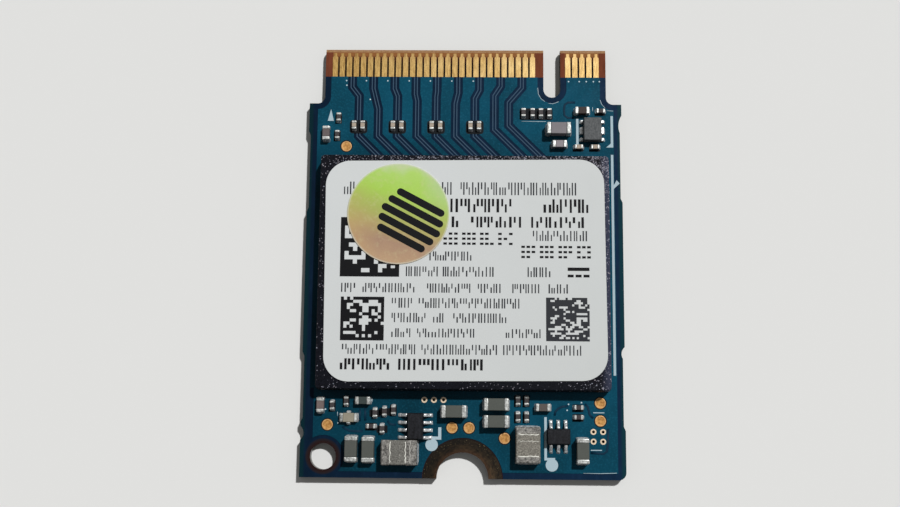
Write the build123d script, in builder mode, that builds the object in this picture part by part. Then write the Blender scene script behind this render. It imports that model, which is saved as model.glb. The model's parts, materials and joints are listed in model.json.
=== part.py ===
from build123d import *
import math
import os

# Gumstick solid state drive, all lengths in millimetres.
# Origin: centre of the board outline on its underside. +Y runs to the card edge, +Z to the component side.

os.makedirs("parts", exist_ok=True)

# Card edge tongue
finger_pitch = 0.5
finger_positions = 38
finger_width = 0.37
finger_thickness = 0.04
finger_neck_width = 0.2
finger_neck_length = 0.22
finger_shoulder_length = 0.08
key_first_position = 29
key_positions = 4
key_slot_width = 1.2
key_slot_depth = 3.5
tongue_length = 4.0
tongue_bare_length = 2.03
tongue_side_margin = 0.675
inner_corner_radius = 0.5
bevel_length = 0.3
bevel_depth = 0.17

# Board
board_thickness = 0.8
shoulder_width = 1.075
front_zone = 4.0
rear_zone = 6.0
rear_corner_radius = 0.5
cut_overrun = 1.0

# Ball grid package, in its field between the front and the rear zone
field_length = 16.0
package_side_gap = 1.0
package_overhang = 0.1
package_shift = -0.07
package_corner_radius = 0.35
ball_height = 0.24
ball_diameter = 0.4
ball_edge_margin = 0.8
ball_columns = 24
ball_rows = 19
ball_core_columns = 6
ball_core_rows = 6
substrate_thickness = 0.26
mould_thickness = 0.8
mould_edge_radius = 0.08

# Dies inside the package
memory_die_length = 7.6
memory_die_thickness = 0.1
memory_die_count = 4
memory_die_step = 0.35
memory_from_right = 2.0
die_gap = 0.6
controller_die_side = 4.6
controller_die_thickness = 0.2
controller_from_left = 2.2

# Label and round seal
label_side_margin = 0.45
label_end_margin = 0.525
label_corner_radius = 1.7
label_thickness = 0.08
label_shift = 0.08
label_front_shift = 0.095
label_turn = 0.6
seal_diameter = 7.0
seal_thickness = 0.06
seal_from_left = 4.95
seal_from_front = 3.785
ink_thickness = 0.012

# Copper under the solder mask
copper_relief = 0.03
trace_dip = 0.008
pour_border = 0.42
pour_right_border = 0.55
pour_left_border = 0.6
pour_left_rear_border = 0.85
pour_hole_clearance = 0.55
lane_width = 0.64
trace_width = 0.07
trace_spacing = 0.2
lane_positions = 3
lane_first_position = 2.5
lane_tuck = 0.5

# Screw notch and tooling hole
notch_radius = 1.75
ring_pad_radius = 2.66
ring_pad_thickness = 0.035
mask_gap = 0.06
tooling_hole_diameter = 1.75
tooling_rim_width = 0.17
tooling_from_side = 1.58
tooling_from_rear = 1.4

# Break-off marks on the long edges
edge_trim_depth = 0.13
edge_trim_slope = 0.3
bite_radius = 0.62
long_bite_radius = 1.5
bite_depth = 0.22

# Chip parts, by their usual inch codes: length, width, height and end band
chip_0201_length = 0.6
chip_0201_width = 0.32
chip_0201_height = 0.3
chip_0201_end = 0.16
chip_0402_length = 1.0
chip_0402_width = 0.52
chip_0402_height = 0.5
chip_0402_end = 0.24
chip_0603_length = 1.68
chip_0603_width = 0.85
chip_0603_height = 0.8
chip_0603_end = 0.31
chip_edge = 0.04
solder_height = 0.03
solder_reach = 0.12
solder_margin = 0.03

# Power inductors
inductor_length = 2.4
inductor_width = 1.66
inductor_height = 1.0
inductor_end = 0.5
inductor_edge = 0.07

# Gull-wing chips
lead_thickness = 0.13
lead_width = 0.24
lead_foot = 0.26
lead_pitch = 0.5
chip_standoff = 0.06
regulator_width = 1.1
regulator_length = 1.8
regulator_height = 0.62
regulator_span = 2.2
regulator_leads_per_side = 4
switch_width = 1.6
switch_length = 1.05
switch_height = 0.58
switch_span = 2.1
switch_leads_per_side = 3
body_draft = 0.05

# Flat power chip
power_width = 1.22
power_length = 1.62
power_height = 0.7
power_contact_reach = 0.24
power_contact_width = 0.26
power_contact_wide = 0.52
power_contact_pitch = 0.64
power_contact_thickness = 0.18

# Three-terminal filter
filter_length = 1.18
filter_width = 0.6
filter_height = 0.4
filter_end = 0.22
filter_tab_width = 0.3
filter_tab_reach = 0.1

# Pads, vias and printed legend
test_pad_diameter = 0.76
test_pad_recess = 0.03
test_pad_thickness = 0.02
via_ring_diameter = 0.4
via_ring_thickness = 0.025
via_hole_diameter = 0.2
via_plating = 0.025
via_pitch = 0.65
legend_thickness = 0.02
legend_line = 0.17
legend_thin_line = 0.06
legend_corner_line = 0.21
legend_blob = 0.84
legend_side_gap = 0.22
legend_triangle_width = 0.43
legend_triangle_height = 0.85
legend_front_reach = 0.33
legend_rear_reach = -1.15
legend_arrow = 0.42
legend_arrow_rise = 0.39
legend_arrow_tail = 0.24
legend_power_length = 1.85
legend_power_gap = 0.38
legend_power_drop = 0.04
legend_foot = 0.42
legend_corner_length = 1.4
legend_corner_rise = 0.72
legend_switch_length = 2.8
legend_switch_foot = 0.72
legend_dash = 0.75

# Worked-out sizes of the board
finger_span = (finger_positions - 1) * finger_pitch
tongue_width = finger_span + 2 * tongue_side_margin
board_width = tongue_width + 2 * shoulder_width
board_length = rear_zone + field_length + front_zone + tongue_length
half_width = board_width / 2
y_front = board_length / 2
y_rear = -board_length / 2
y_shoulder = y_front - tongue_length
y_mask = y_front - tongue_bare_length
y_field_front = y_shoulder - front_zone
y_package = y_field_front - field_length / 2 + package_shift
package_width = board_width - 2 * package_side_gap
package_length = field_length + 2 * package_overhang
label_width = package_width - 2 * label_side_margin
label_length = package_length - 2 * label_end_margin
memory_die_width = package_width - controller_from_left - controller_die_side - die_gap - memory_from_right
body_length = y_shoulder - y_rear
z_top = board_thickness
z_ball = z_top + ball_height
z_substrate = z_ball + substrate_thickness
z_mould = z_substrate + mould_thickness
z_label = z_mould + label_thickness
z_seal = z_label + seal_thickness
z_chip = z_top + solder_height


# The underside's fingers stand between the top side's
half_step = 1 / 2


def finger_x(position):
    """X of the finger that stands at a counted position on the top side."""
    return (position - (finger_positions - 1) / 2) * finger_pitch


key_x = finger_x(key_first_position + (key_positions - 1 + half_step) / 2)
tooling_x = tooling_from_side - half_width
tooling_y = y_rear + tooling_from_rear
label_x = label_shift
label_y = y_package + label_front_shift
label_left = label_x - label_width / 2
label_rear = label_y - label_length / 2
seal_x = label_left + seal_from_left
seal_y = label_rear + label_length - seal_from_front


def front_place(x_share, y_share):
    """Point between the package and the tongue, as shares of the half width and of that zone."""
    return (x_share * half_width, y_field_front + y_share * front_zone)


def rear_place(x_share, y_share):
    """Point between the rear edge and the package, as shares of the half width and of that zone."""
    return (x_share * half_width, y_rear + y_share * rear_zone)


# How a block stands on its place: in the middle of it, or with its outer end there
standing = (Align.CENTER, Align.CENTER, Align.MIN)
standing_inward = (Align.MAX, Align.CENTER, Align.MIN)


def save(builder, label):
    """Label a finished piece and write it."""
    builder.part.label = label
    export_step(builder.part, f"parts/{label}.step")


def ribbon(points, near, far):
    """Corner points of a band that runs along a path between two sideways offsets, with mitred turns."""
    left = []
    right = []
    for index, (x, y) in enumerate(points):
        before = points[max(index - 1, 0)]
        after = points[min(index + 1, len(points) - 1)]
        first = math.atan2(y - before[1], x - before[0]) if index > 0 else None
        last = math.atan2(after[1] - y, after[0] - x) if index < len(points) - 1 else None
        first = last if first is None else first
        last = first if last is None else last
        turn = (first + last) / 2
        stretch = 1 / math.cos((last - first) / 2)
        side = (-math.sin(turn) * stretch, math.cos(turn) * stretch)
        left.append((x + side[0] * near, y + side[1] * near))
        right.append((x + side[0] * far, y + side[1] * far))
    return left + right[::-1]


# Routing lanes: x below the first bend as a share of the half width, then the heights of the
# upper, middle and lower bends as shares of the depth from the package to the mask edge
lane_shares = [
    (-0.682, 0.871, 0.762, 0.276),
    (-0.557, 0.854, 0.603, 0.276),
    (-0.434, 0.854, 0.762, 0.276),
    (-0.308, 0.787, 0.704, 0.276),
    (-0.186, 0.821, 0.754, 0.276),
    (-0.062, 0.804, 0.670, 0.276),
    (0.062, 0.838, 0.737, 0.280),
    (0.187, 0.888, 0.771, 0.360),
    (0.279, 0.871, 0.687, 0.410),
]
routing_depth = y_mask - y_field_front


def lane_path(number):
    """Centre line of one routing lane, from between two fingers to under the package."""
    x_share, upper_share, middle_share, lower_share = lane_shares[number]
    start = finger_x(number * lane_positions + lane_first_position)
    x_lane = x_share * half_width
    y_lower = y_field_front + lower_share * routing_depth
    fall = y_lower - y_field_front + lane_tuck
    return [
        (start, y_mask),
        (start, y_field_front + upper_share * routing_depth),
        (x_lane, y_field_front + middle_share * routing_depth),
        (x_lane, y_lower),
        (x_lane + fall, y_lower - fall),
    ]


# Board outline: tongue, key slot, notch, tooling hole and the worn long edges
with BuildSketch() as outline:
    with Locations((0, (y_rear + y_shoulder) / 2)):
        Rectangle(board_width, body_length)
    fillet(outline.vertices().group_by(Axis.Y)[0].sort_by(Axis.X)[-1], rear_corner_radius)
    with Locations((0, (y_shoulder + y_front) / 2)):
        Rectangle(tongue_width, tongue_length)
    fillet(outline.vertices().group_by(Axis.Y)[-2].sort_by(Axis.X)[1:-1], inner_corner_radius)
    with Locations((key_x, y_front - key_slot_depth + key_slot_width / 2)):
        Circle(key_slot_width / 2, mode=Mode.SUBTRACT)
    with Locations((key_x, y_front + (cut_overrun - key_slot_depth + key_slot_width / 2) / 2)):
        Rectangle(key_slot_width, key_slot_depth - key_slot_width / 2 + cut_overrun, mode=Mode.SUBTRACT)

# Copper pour: the same outline drawn in by the border, and further along the long edges and round the hole
with BuildSketch() as pour:
    add(outline.sketch)
    offset(amount=-pour_border, kind=Kind.INTERSECTION, mode=Mode.REPLACE)
    with Locations((half_width, 0)):
        Rectangle(2 * pour_right_border, board_length, mode=Mode.SUBTRACT)
    with Locations((-half_width, 0)):
        Rectangle(2 * pour_left_border, board_length, mode=Mode.SUBTRACT)
    with Locations((-half_width, y_rear)):
        Rectangle(2 * pour_left_rear_border, 2 * rear_zone, mode=Mode.SUBTRACT)
    with Locations((tooling_x, tooling_y)):
        Circle(tooling_hole_diameter / 2 + pour_hole_clearance, mode=Mode.SUBTRACT)

# Stretches of the long edges that the break-off cutter trimmed, as shares of the body length
right_trim_shares = [(0.729, 0.930), (0.125, 0.330)]
left_trim_shares = [(0.700, 0.922), (0.142, 0.325)]
right_bites = [(0.940, long_bite_radius), (0.325, bite_radius)]
left_bites = [(0.113, bite_radius)]
edge_marks = [(1, right_trim_shares, right_bites), (-1, left_trim_shares, left_bites)]

with BuildSketch() as edge_wear:
    for side, trims, bites in edge_marks:
        x_edge = side * half_width
        x_deep = side * (half_width - edge_trim_depth)
        x_out = side * (half_width + cut_overrun)
        for low_share, high_share in trims:
            y_low = y_rear + low_share * body_length
            y_high = y_rear + high_share * body_length
            Polygon(
                (x_out, y_low),
                (x_edge, y_low),
                (x_deep, y_low + edge_trim_slope),
                (x_deep, y_high - edge_trim_slope),
                (x_edge, y_high),
                (x_out, y_high),
            )
        for share, radius in bites:
            with Locations((side * (half_width + radius - bite_depth), y_rear + share * body_length)):
                Circle(radius)

# Lanes without copper, and the paired traces that stand in them
with BuildSketch() as lanes:
    for number in range(len(lane_shares)):
        Polygon(*ribbon(lane_path(number), -lane_width / 2, lane_width / 2))

trace_edges = (trace_spacing / 2 - trace_width / 2, trace_spacing / 2 + trace_width / 2)
with BuildSketch() as traces:
    for number in range(len(lane_shares)):
        for side in (-1, 1):
            Polygon(*ribbon(lane_path(number), side * trace_edges[0], side * trace_edges[1]))

# Vias: three in a row beside the package, four in a square at the right edge
via_drill_radius = via_hole_diameter / 2 + via_plating
row_x, row_y = rear_place(-0.179, 0.873)
square_x, square_y = rear_place(0.831, 0.478)
row_via_places = [(row_x + step * via_pitch, row_y) for step in (-1, 0, 1)]
square_via_places = [
    (square_x + sx * via_pitch / 2, square_y + sy * via_pitch / 2) for sx in (-1, 1) for sy in (-1, 1)
]
via_places = row_via_places + square_via_places

# Round bare copper pads
front_pad_shares = [(-0.757, 0.222)]
rear_pad_shares = [
    (-0.834, 0.587),
    (-0.066, 0.563),
    (0.039, 0.563),
    (0.257, 0.450),
    (0.845, 0.853),
    (0.845, 0.653),
]
pad_places = [front_place(*share) for share in front_pad_shares]
pad_places += [rear_place(*share) for share in rear_pad_shares]

with BuildPart() as board:
    with BuildSketch():
        add(outline.sketch)
        add(edge_wear.sketch, mode=Mode.SUBTRACT)
        with Locations((0, y_rear)):
            Circle(notch_radius, mode=Mode.SUBTRACT)
        with Locations((tooling_x, tooling_y)):
            Circle(tooling_hole_diameter / 2, mode=Mode.SUBTRACT)
        with Locations(*via_places):
            Circle(via_drill_radius, mode=Mode.SUBTRACT)
    extrude(amount=board_thickness)
    # Bevel of the card edge, top and bottom
    with BuildSketch(Plane.YZ.offset(-half_width)):
        for z_skin, z_inner in ((z_top, z_top - bevel_depth), (0, bevel_depth)):
            Polygon((y_front - bevel_length, z_skin), (y_front, z_skin), (y_front, z_inner))
    extrude(amount=board_width, mode=Mode.SUBTRACT)
    # Bare laminate of the tongue, below the fingers' faces
    for z_skin, depth in ((z_top, -finger_thickness), (0, finger_thickness)):
        with BuildSketch(Plane.XY.offset(z_skin)):
            with Locations((0, y_mask + (tongue_bare_length + cut_overrun) / 2)):
                Rectangle(tongue_width + cut_overrun, tongue_bare_length + cut_overrun)
        extrude(amount=depth, mode=Mode.SUBTRACT)
        # Seats of the screw pad, and the mask's clear ring around the tooling hole
        with BuildSketch(Plane.XY.offset(z_skin)):
            with Locations((0, y_rear)):
                Circle(ring_pad_radius + mask_gap)
            with Locations((tooling_x, tooling_y)):
                Circle(tooling_hole_diameter / 2 + tooling_rim_width)
        extrude(amount=math.copysign(ring_pad_thickness, depth), mode=Mode.SUBTRACT)
        # Mask openings of the vias
        with BuildSketch(Plane.XY.offset(z_skin)):
            with Locations(*via_places):
                Circle(via_ring_diameter / 2)
        extrude(amount=math.copysign(copper_relief, depth), mode=Mode.SUBTRACT)
    # Mask openings of the round pads
    with BuildSketch(Plane.XY.offset(z_top)):
        with Locations(*pad_places):
            Circle(test_pad_diameter / 2)
    extrude(amount=-test_pad_recess, mode=Mode.SUBTRACT)
    # Mask over bare laminate lies lower than mask over copper
    with BuildSketch(Plane.XY.offset(z_top)):
        add(outline.sketch)
        add(pour.sketch, mode=Mode.SUBTRACT)
        add(lanes.sketch)
        add(traces.sketch, mode=Mode.SUBTRACT)
    extrude(amount=-copper_relief, mode=Mode.SUBTRACT)
    with BuildSketch(Plane.XY.offset(z_top)):
        add(traces.sketch)
    extrude(amount=-trace_dip, mode=Mode.SUBTRACT)
save(board, "circuit_board")


# Gold contact fingers: straight, then drawn in to the narrow neck that plating left
y_tip = y_front - bevel_length
y_neck = y_tip - finger_neck_length
y_finger_shoulder = y_neck - finger_shoulder_length
key_range = range(key_first_position, key_first_position + key_positions)


def fingers(name, positions, z_low):
    """One group of contact fingers, each at a counted position."""
    with BuildPart() as group:
        with BuildSketch(Plane.XY.offset(z_low)):
            with Locations(*[(finger_x(position), 0) for position in positions]):
                Polygon(
                    (-finger_width / 2, y_mask),
                    (finger_width / 2, y_mask),
                    (finger_width / 2, y_finger_shoulder),
                    (finger_neck_width / 2, y_neck),
                    (finger_neck_width / 2, y_tip),
                    (-finger_neck_width / 2, y_tip),
                    (-finger_neck_width / 2, y_neck),
                    (-finger_width / 2, y_finger_shoulder),
                )
        extrude(amount=finger_thickness)
    save(group, name)


top_positions = [p for p in range(finger_positions) if p not in key_range]
bottom_positions = [p + half_step for p in range(finger_positions - 1) if p not in key_range]
fingers("edge_fingers_top", top_positions, z_top - finger_thickness)
fingers("edge_fingers_bottom", bottom_positions, 0)

# Screw pad: the half-ring of plated copper around the notch, on each face
with BuildPart() as screw_pad:
    with BuildSketch():
        with Locations((0, y_rear)):
            Circle(ring_pad_radius)
    extrude(amount=ring_pad_thickness)
    with BuildSketch(Plane.XY.offset(z_top - ring_pad_thickness)):
        with Locations((0, y_rear)):
            Circle(ring_pad_radius)
    extrude(amount=ring_pad_thickness)
    with BuildSketch():
        with Locations((0, y_rear)):
            Circle(notch_radius)
        with Locations((0, y_rear - ring_pad_radius / 2 - cut_overrun / 2)):
            Rectangle(2 * ring_pad_radius + cut_overrun, ring_pad_radius + cut_overrun)
    extrude(amount=z_top, mode=Mode.SUBTRACT)
save(screw_pad, "screw_pad")

with BuildPart() as test_pads:
    with BuildSketch(Plane.XY.offset(z_top - test_pad_recess)):
        with Locations(*pad_places):
            Circle(test_pad_diameter / 2)
    extrude(amount=test_pad_thickness)
save(test_pads, "test_pads")

# Vias: plated barrels with a ring on each face, each in its mask opening
with BuildPart() as via_group:
    for z_ring in (z_top - copper_relief, copper_relief - via_ring_thickness):
        with BuildSketch(Plane.XY.offset(z_ring)):
            with Locations(*via_places):
                Circle(via_ring_diameter / 2)
        extrude(amount=via_ring_thickness)
    with BuildSketch(Plane.XY.offset(copper_relief)):
        with Locations(*via_places):
            Circle(via_drill_radius)
    extrude(amount=z_top - 2 * copper_relief)
    with BuildSketch():
        with Locations(*via_places):
            Circle(via_hole_diameter / 2)
    extrude(amount=z_top, mode=Mode.SUBTRACT)
save(via_group, "plated_vias")

# Ball grid package, from the board up
ball_span_x = package_width - 2 * ball_edge_margin
ball_span_y = package_length - 2 * ball_edge_margin
ball_step_x = ball_span_x / (ball_columns - 1)
ball_step_y = ball_span_y / (ball_rows - 1)


def ball_point(column, row):
    """Place of one solder ball in the full grid."""
    return (-ball_span_x / 2 + column * ball_step_x, y_package - ball_span_y / 2 + row * ball_step_y)


ball_ring = [
    ball_point(column, row)
    for column in range(ball_columns)
    for row in range(ball_rows)
    if column in (0, ball_columns - 1) or row in (0, ball_rows - 1)
]
core_column = (ball_columns - ball_core_columns) // 2
core_row = (ball_rows - ball_core_rows) // 2
ball_core = [
    ball_point(core_column + column, core_row + row)
    for column in range(ball_core_columns)
    for row in range(ball_core_rows)
]
with BuildPart() as balls:
    with BuildSketch(Plane.XY.offset(z_top)):
        with Locations(*ball_ring, *ball_core):
            Circle(ball_diameter / 2)
    extrude(amount=ball_height)
save(balls, "solder_balls")

with BuildPart() as substrate:
    with BuildSketch(Plane.XY.offset(z_ball)):
        with Locations((0, y_package)):
            RectangleRounded(package_width, package_length, package_corner_radius)
    extrude(amount=substrate_thickness)
save(substrate, "package_substrate")

memory_x = package_width / 2 - memory_from_right - memory_die_width / 2
memory_first_y = y_package - memory_die_step * (memory_die_count - 1) / 2
memory_dies = []
for level in range(memory_die_count):
    with BuildPart() as memory_die:
        with BuildSketch(Plane.XY.offset(z_substrate + level * memory_die_thickness)):
            with Locations((memory_x, memory_first_y + level * memory_die_step)):
                Rectangle(memory_die_width, memory_die_length)
        extrude(amount=memory_die_thickness)
    save(memory_die, f"memory_die_{level + 1}")
    memory_dies.append(memory_die.part)

controller_x = -package_width / 2 + controller_from_left + controller_die_side / 2
with BuildPart() as controller:
    with BuildSketch(Plane.XY.offset(z_substrate)):
        with Locations((controller_x, y_package)):
            Rectangle(controller_die_side, controller_die_side)
    extrude(amount=controller_die_thickness)
save(controller, "controller_die")

# Mould cap, cast over the dies
with BuildPart() as mould:
    with BuildSketch(Plane.XY.offset(z_substrate)):
        with Locations((0, y_package)):
            RectangleRounded(package_width, package_length, package_corner_radius)
    extrude(amount=mould_thickness)
    fillet(mould.faces().sort_by(Axis.Z)[-1].edges(), mould_edge_radius)
    add(memory_dies, mode=Mode.SUBTRACT)
    add(controller.part, mode=Mode.SUBTRACT)
save(mould, "package_mould")

with BuildPart() as label:
    with BuildSketch(Plane.XY.offset(z_mould)):
        with Locations((label_x, label_y)):
            RectangleRounded(label_width, label_length, label_corner_radius, rotation=label_turn)
    extrude(amount=label_thickness)
save(label, "label")

with BuildPart() as seal:
    with BuildSketch(Plane.XY.offset(z_label)):
        with Locations((seal_x, seal_y)):
            Circle(seal_diameter / 2)
    extrude(amount=seal_thickness)
save(seal, "round_seal")

# Label print as plain bars: low and high edge of each row, then the ends of its bars,
# all as shares of the label, from its left and rear edges
row_shares = [
    (0.839, 0.897, [(0.063, 0.105), (0.415, 0.455), (0.482, 0.902)]),
    (0.759, 0.821, [(0.446, 0.672), (0.779, 0.940)]),
    (0.690, 0.739, [(0.451, 0.486), (0.520, 0.710), (0.735, 0.927)]),
    (0.604, 0.672, [(0.419, 0.476), (0.486, 0.540), (0.550, 0.604), (0.614, 0.672)]),
    (0.630, 0.676, [(0.741, 0.938)]),
    (0.545, 0.614, [(0.697, 0.752), (0.763, 0.817), (0.829, 0.883), (0.895, 0.949)]),
    (0.538, 0.579, [(0.373, 0.530)]),
    (0.466, 0.510, [(0.290, 0.405), (0.421, 0.610), (0.722, 0.810)]),
    (0.393, 0.434, [(0.061, 0.112), (0.137, 0.326), (0.366, 0.525)]),
    (0.393, 0.434, [(0.546, 0.637), (0.668, 0.764), (0.796, 0.867)]),
    (0.324, 0.368, [(0.242, 0.318), (0.337, 0.699)]),
    (0.259, 0.301, [(0.242, 0.364), (0.389, 0.426), (0.460, 0.650)]),
    (0.193, 0.232, [(0.242, 0.311), (0.333, 0.539), (0.645, 0.770)]),
    (0.117, 0.161, [(0.069, 0.335), (0.349, 0.622), (0.636, 0.914)]),
    (0.048, 0.097, [(0.063, 0.247), (0.268, 0.569)]),
    (0.495, 0.510, [(0.864, 0.941)]),
    (0.466, 0.478, [(0.864, 0.885), (0.892, 0.913), (0.920, 0.941)]),
]
# Code blocks: left, right, low and high edge, as shares of the label
block_shares = [(0.058, 0.268, 0.466, 0.735), (0.061, 0.219, 0.179, 0.375), (0.785, 0.941, 0.179, 0.375)]
block_cells = 6
cell_fill_share = 0.86

with BuildPart() as print_bars:
    with BuildSketch(Plane.XY.offset(z_label)):
        for low, high, bars in row_shares:
            for start, end in bars:
                bar_x = label_left + (start + end) / 2 * label_width
                bar_y = label_rear + (low + high) / 2 * label_length
                with Locations((bar_x, bar_y)):
                    Rectangle((end - start) * label_width, (high - low) * label_length)
        for left, right, low, high in block_shares:
            cell_x = (right - left) * label_width / block_cells
            cell_y = (high - low) * label_length / block_cells
            cells = [
                (label_left + left * label_width + (column + half_step) * cell_x,
                 label_rear + low * label_length + (row + half_step) * cell_y)
                for column in range(block_cells)
                for row in range(column % 2, block_cells, 2)
            ]
            with Locations(*cells):
                Rectangle(cell_x * cell_fill_share, cell_y * cell_fill_share)
        with Locations((seal_x, seal_y)):
            Circle(seal_diameter / 2, mode=Mode.SUBTRACT)
    extrude(amount=ink_thickness)
save(print_bars, "label_print")

# Dark marks on the seal: a stack of slanted bars, with offset and length as shares of the seal's radius
seal_mark_tilt = -28
seal_mark_centre_share = (0.25, -0.13)
seal_bar_width_share = 0.14
seal_mark_shares = [(0.40, 1.04), (0.20, 1.2), (0, 1.28), (-0.20, 1.2), (-0.40, 1.04)]
seal_radius = seal_diameter / 2
marks_x = seal_x + seal_mark_centre_share[0] * seal_radius
marks_y = seal_y + seal_mark_centre_share[1] * seal_radius
with BuildPart() as seal_marks:
    with BuildSketch(Plane.XY.offset(z_seal)):
        with Locations(Location((marks_x, marks_y, 0), (0, 0, seal_mark_tilt))):
            for offset_share, length_share in seal_mark_shares:
                with Locations((0, offset_share * seal_radius)):
                    SlotOverall(length_share * seal_radius, seal_bar_width_share * seal_radius)
    extrude(amount=ink_thickness)
save(seal_marks, "seal_marks")

# Chip parts: shares of x and y in their zone, and the turn of the part in degrees
across = 0
upright = 90
opposite = 180
pair_spacing = 0.6
pair_shares = [(-0.682, 0.592), (-0.434, 0.592), (-0.186, 0.592), (0.062, 0.592)]
small_front_shares = [
    (-0.809, 0.737, upright),
    (-0.816, 0.418, upright),
    (0.373, 0.833, upright),
    (0.431, 0.833, upright),
    (0.484, 0.833, upright),
    (0.538, 0.833, upright),
    (0.865, 0.868, across),
    (0.724, 0.220, across),
    (0.828, 0.220, across),
]
small_rear_shares = [
    (-0.805, 0.803, upright),
    (-0.719, 0.852, upright),
    (-0.540, 0.723, upright),
    (-0.482, 0.740, upright),
    (-0.427, 0.757, upright),
    (-0.495, 0.547, upright),
    (-0.563, 0.573, across),
    (0.338, 0.872, upright),
    (0.391, 0.872, upright),
    (0.338, 0.692, upright),
    (0.391, 0.692, upright),
    (0.709, 0.800, across),
    (0.709, 0.692, across),
]
middle_front_shares = [(-0.885, 0.435, upright), (0.601, 0.260, across)]
middle_rear_shares = [(-0.876, 0.805, upright), (-0.616, 0.858, across), (0.491, 0.797, across)]
bead_shares = [(0.746, 0.862, across)]
large_front_shares = [(0.595, 0.523, across)]
large_rear_shares = [
    (-0.681, 0.320, upright),
    (-0.577, 0.315, upright),
    (-0.056, 0.743, across),
    (0.204, 0.825, across),
    (0.204, 0.636, across),
    (0.731, 0.318, upright),
]


def chip_places(front_shares, rear_shares):
    """Centres and turns of a family of chip parts."""
    places = [(*front_place(x, y), turn) for x, y, turn in front_shares]
    return places + [(*rear_place(x, y), turn) for x, y, turn in rear_shares]


pair_places = []
for share in pair_shares:
    x, y = front_place(*share)
    pair_places += [(x - pair_spacing / 2, y, upright), (x + pair_spacing / 2, y, upright)]

# Solder pads to lay under the terminals: places by the pad's near end, far end and width
solder_pads = {}


def lay_solder(places, near, far, wide):
    """Note one pad for each place, reaching from near to far along its turn."""
    solder_pads.setdefault((near, far, wide), []).extend(places)


def chip_body(name, places, size):
    """Ceramic bodies between the end caps, one solid for each chip."""
    length, width, height, end = size
    with BuildPart() as bodies:
        with Locations(*[Location((x, y, z_chip), (0, 0, turn)) for x, y, turn in places]):
            Box(length - 2 * end, width, height, align=standing)
    save(bodies, name)


def chip_end_caps(name, places, size):
    """Tinned end caps, two for each chip, with broken outer edges, and the solder pad under each."""
    length, width, height, end = size
    with BuildPart() as cap:
        with Locations((length / 2, 0, 0)):
            Box(end, width, height, align=standing_inward)
        chamfer(cap.faces().sort_by(Axis.X)[-1].edges(), chip_edge)
    turned = [(x, y, turn + half_turn) for x, y, turn in places for half_turn in (across, opposite)]
    with BuildPart() as caps:
        with Locations(*[Location((x, y, z_chip), (0, 0, turn)) for x, y, turn in turned]):
            add(cap.part)
    save(caps, name)
    lay_solder(turned, length / 2 - end, length / 2 + solder_reach, width + 2 * solder_margin)


size_0201 = (chip_0201_length, chip_0201_width, chip_0201_height, chip_0201_end)
size_0402 = (chip_0402_length, chip_0402_width, chip_0402_height, chip_0402_end)
size_0603 = (chip_0603_length, chip_0603_width, chip_0603_height, chip_0603_end)
small_places = chip_places(small_front_shares, small_rear_shares)
middle_places = chip_places(middle_front_shares, middle_rear_shares)
bead_places = chip_places(bead_shares, [])
for family, places, size in (
    ("coupling_capacitor", pair_places, size_0201),
    ("small_chip", small_places, size_0201),
    ("middle_capacitor", middle_places, size_0402),
    ("chip_bead", bead_places, size_0402),
):
    chip_body(f"{family}_bodies", places, size)
    chip_end_caps(f"{family}_ends", places, size)
for count, place in enumerate(chip_places(large_front_shares, large_rear_shares), start=1):
    chip_body(f"large_capacitor_{count}_body", [place], size_0603)
    chip_end_caps(f"large_capacitor_{count}_ends", [place], size_0603)


def inductor(name, place, turn):
    """Moulded power inductor: a core block between two metal ends."""
    x, y = place
    with BuildPart() as core:
        with Locations(Location((x, y, z_chip), (0, 0, turn))):
            Box(inductor_length - 2 * inductor_end, inductor_width, inductor_height, align=standing)
    save(core, f"{name}_core")
    with BuildPart() as cap:
        with Locations((inductor_length / 2, 0, 0)):
            Box(inductor_end, inductor_width, inductor_height, align=standing_inward)
        chamfer(cap.faces().sort_by(Axis.X)[-1].edges(), inductor_edge)
    seats = [Location((x, y, z_chip), (0, 0, turn + half_turn)) for half_turn in (across, opposite)]
    with BuildPart() as ends:
        with Locations(*seats):
            add(cap.part)
    save(ends, f"{name}_ends")
    lay_solder(
        [(x, y, turn), (x, y, turn + opposite)],
        inductor_length / 2 - inductor_end,
        inductor_length / 2 + solder_reach,
        inductor_width + 2 * solder_margin,
    )


inductor("inductor_left", rear_place(-0.386, 0.285), across)
inductor("inductor_right", rear_place(0.397, 0.380), upright)


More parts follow.
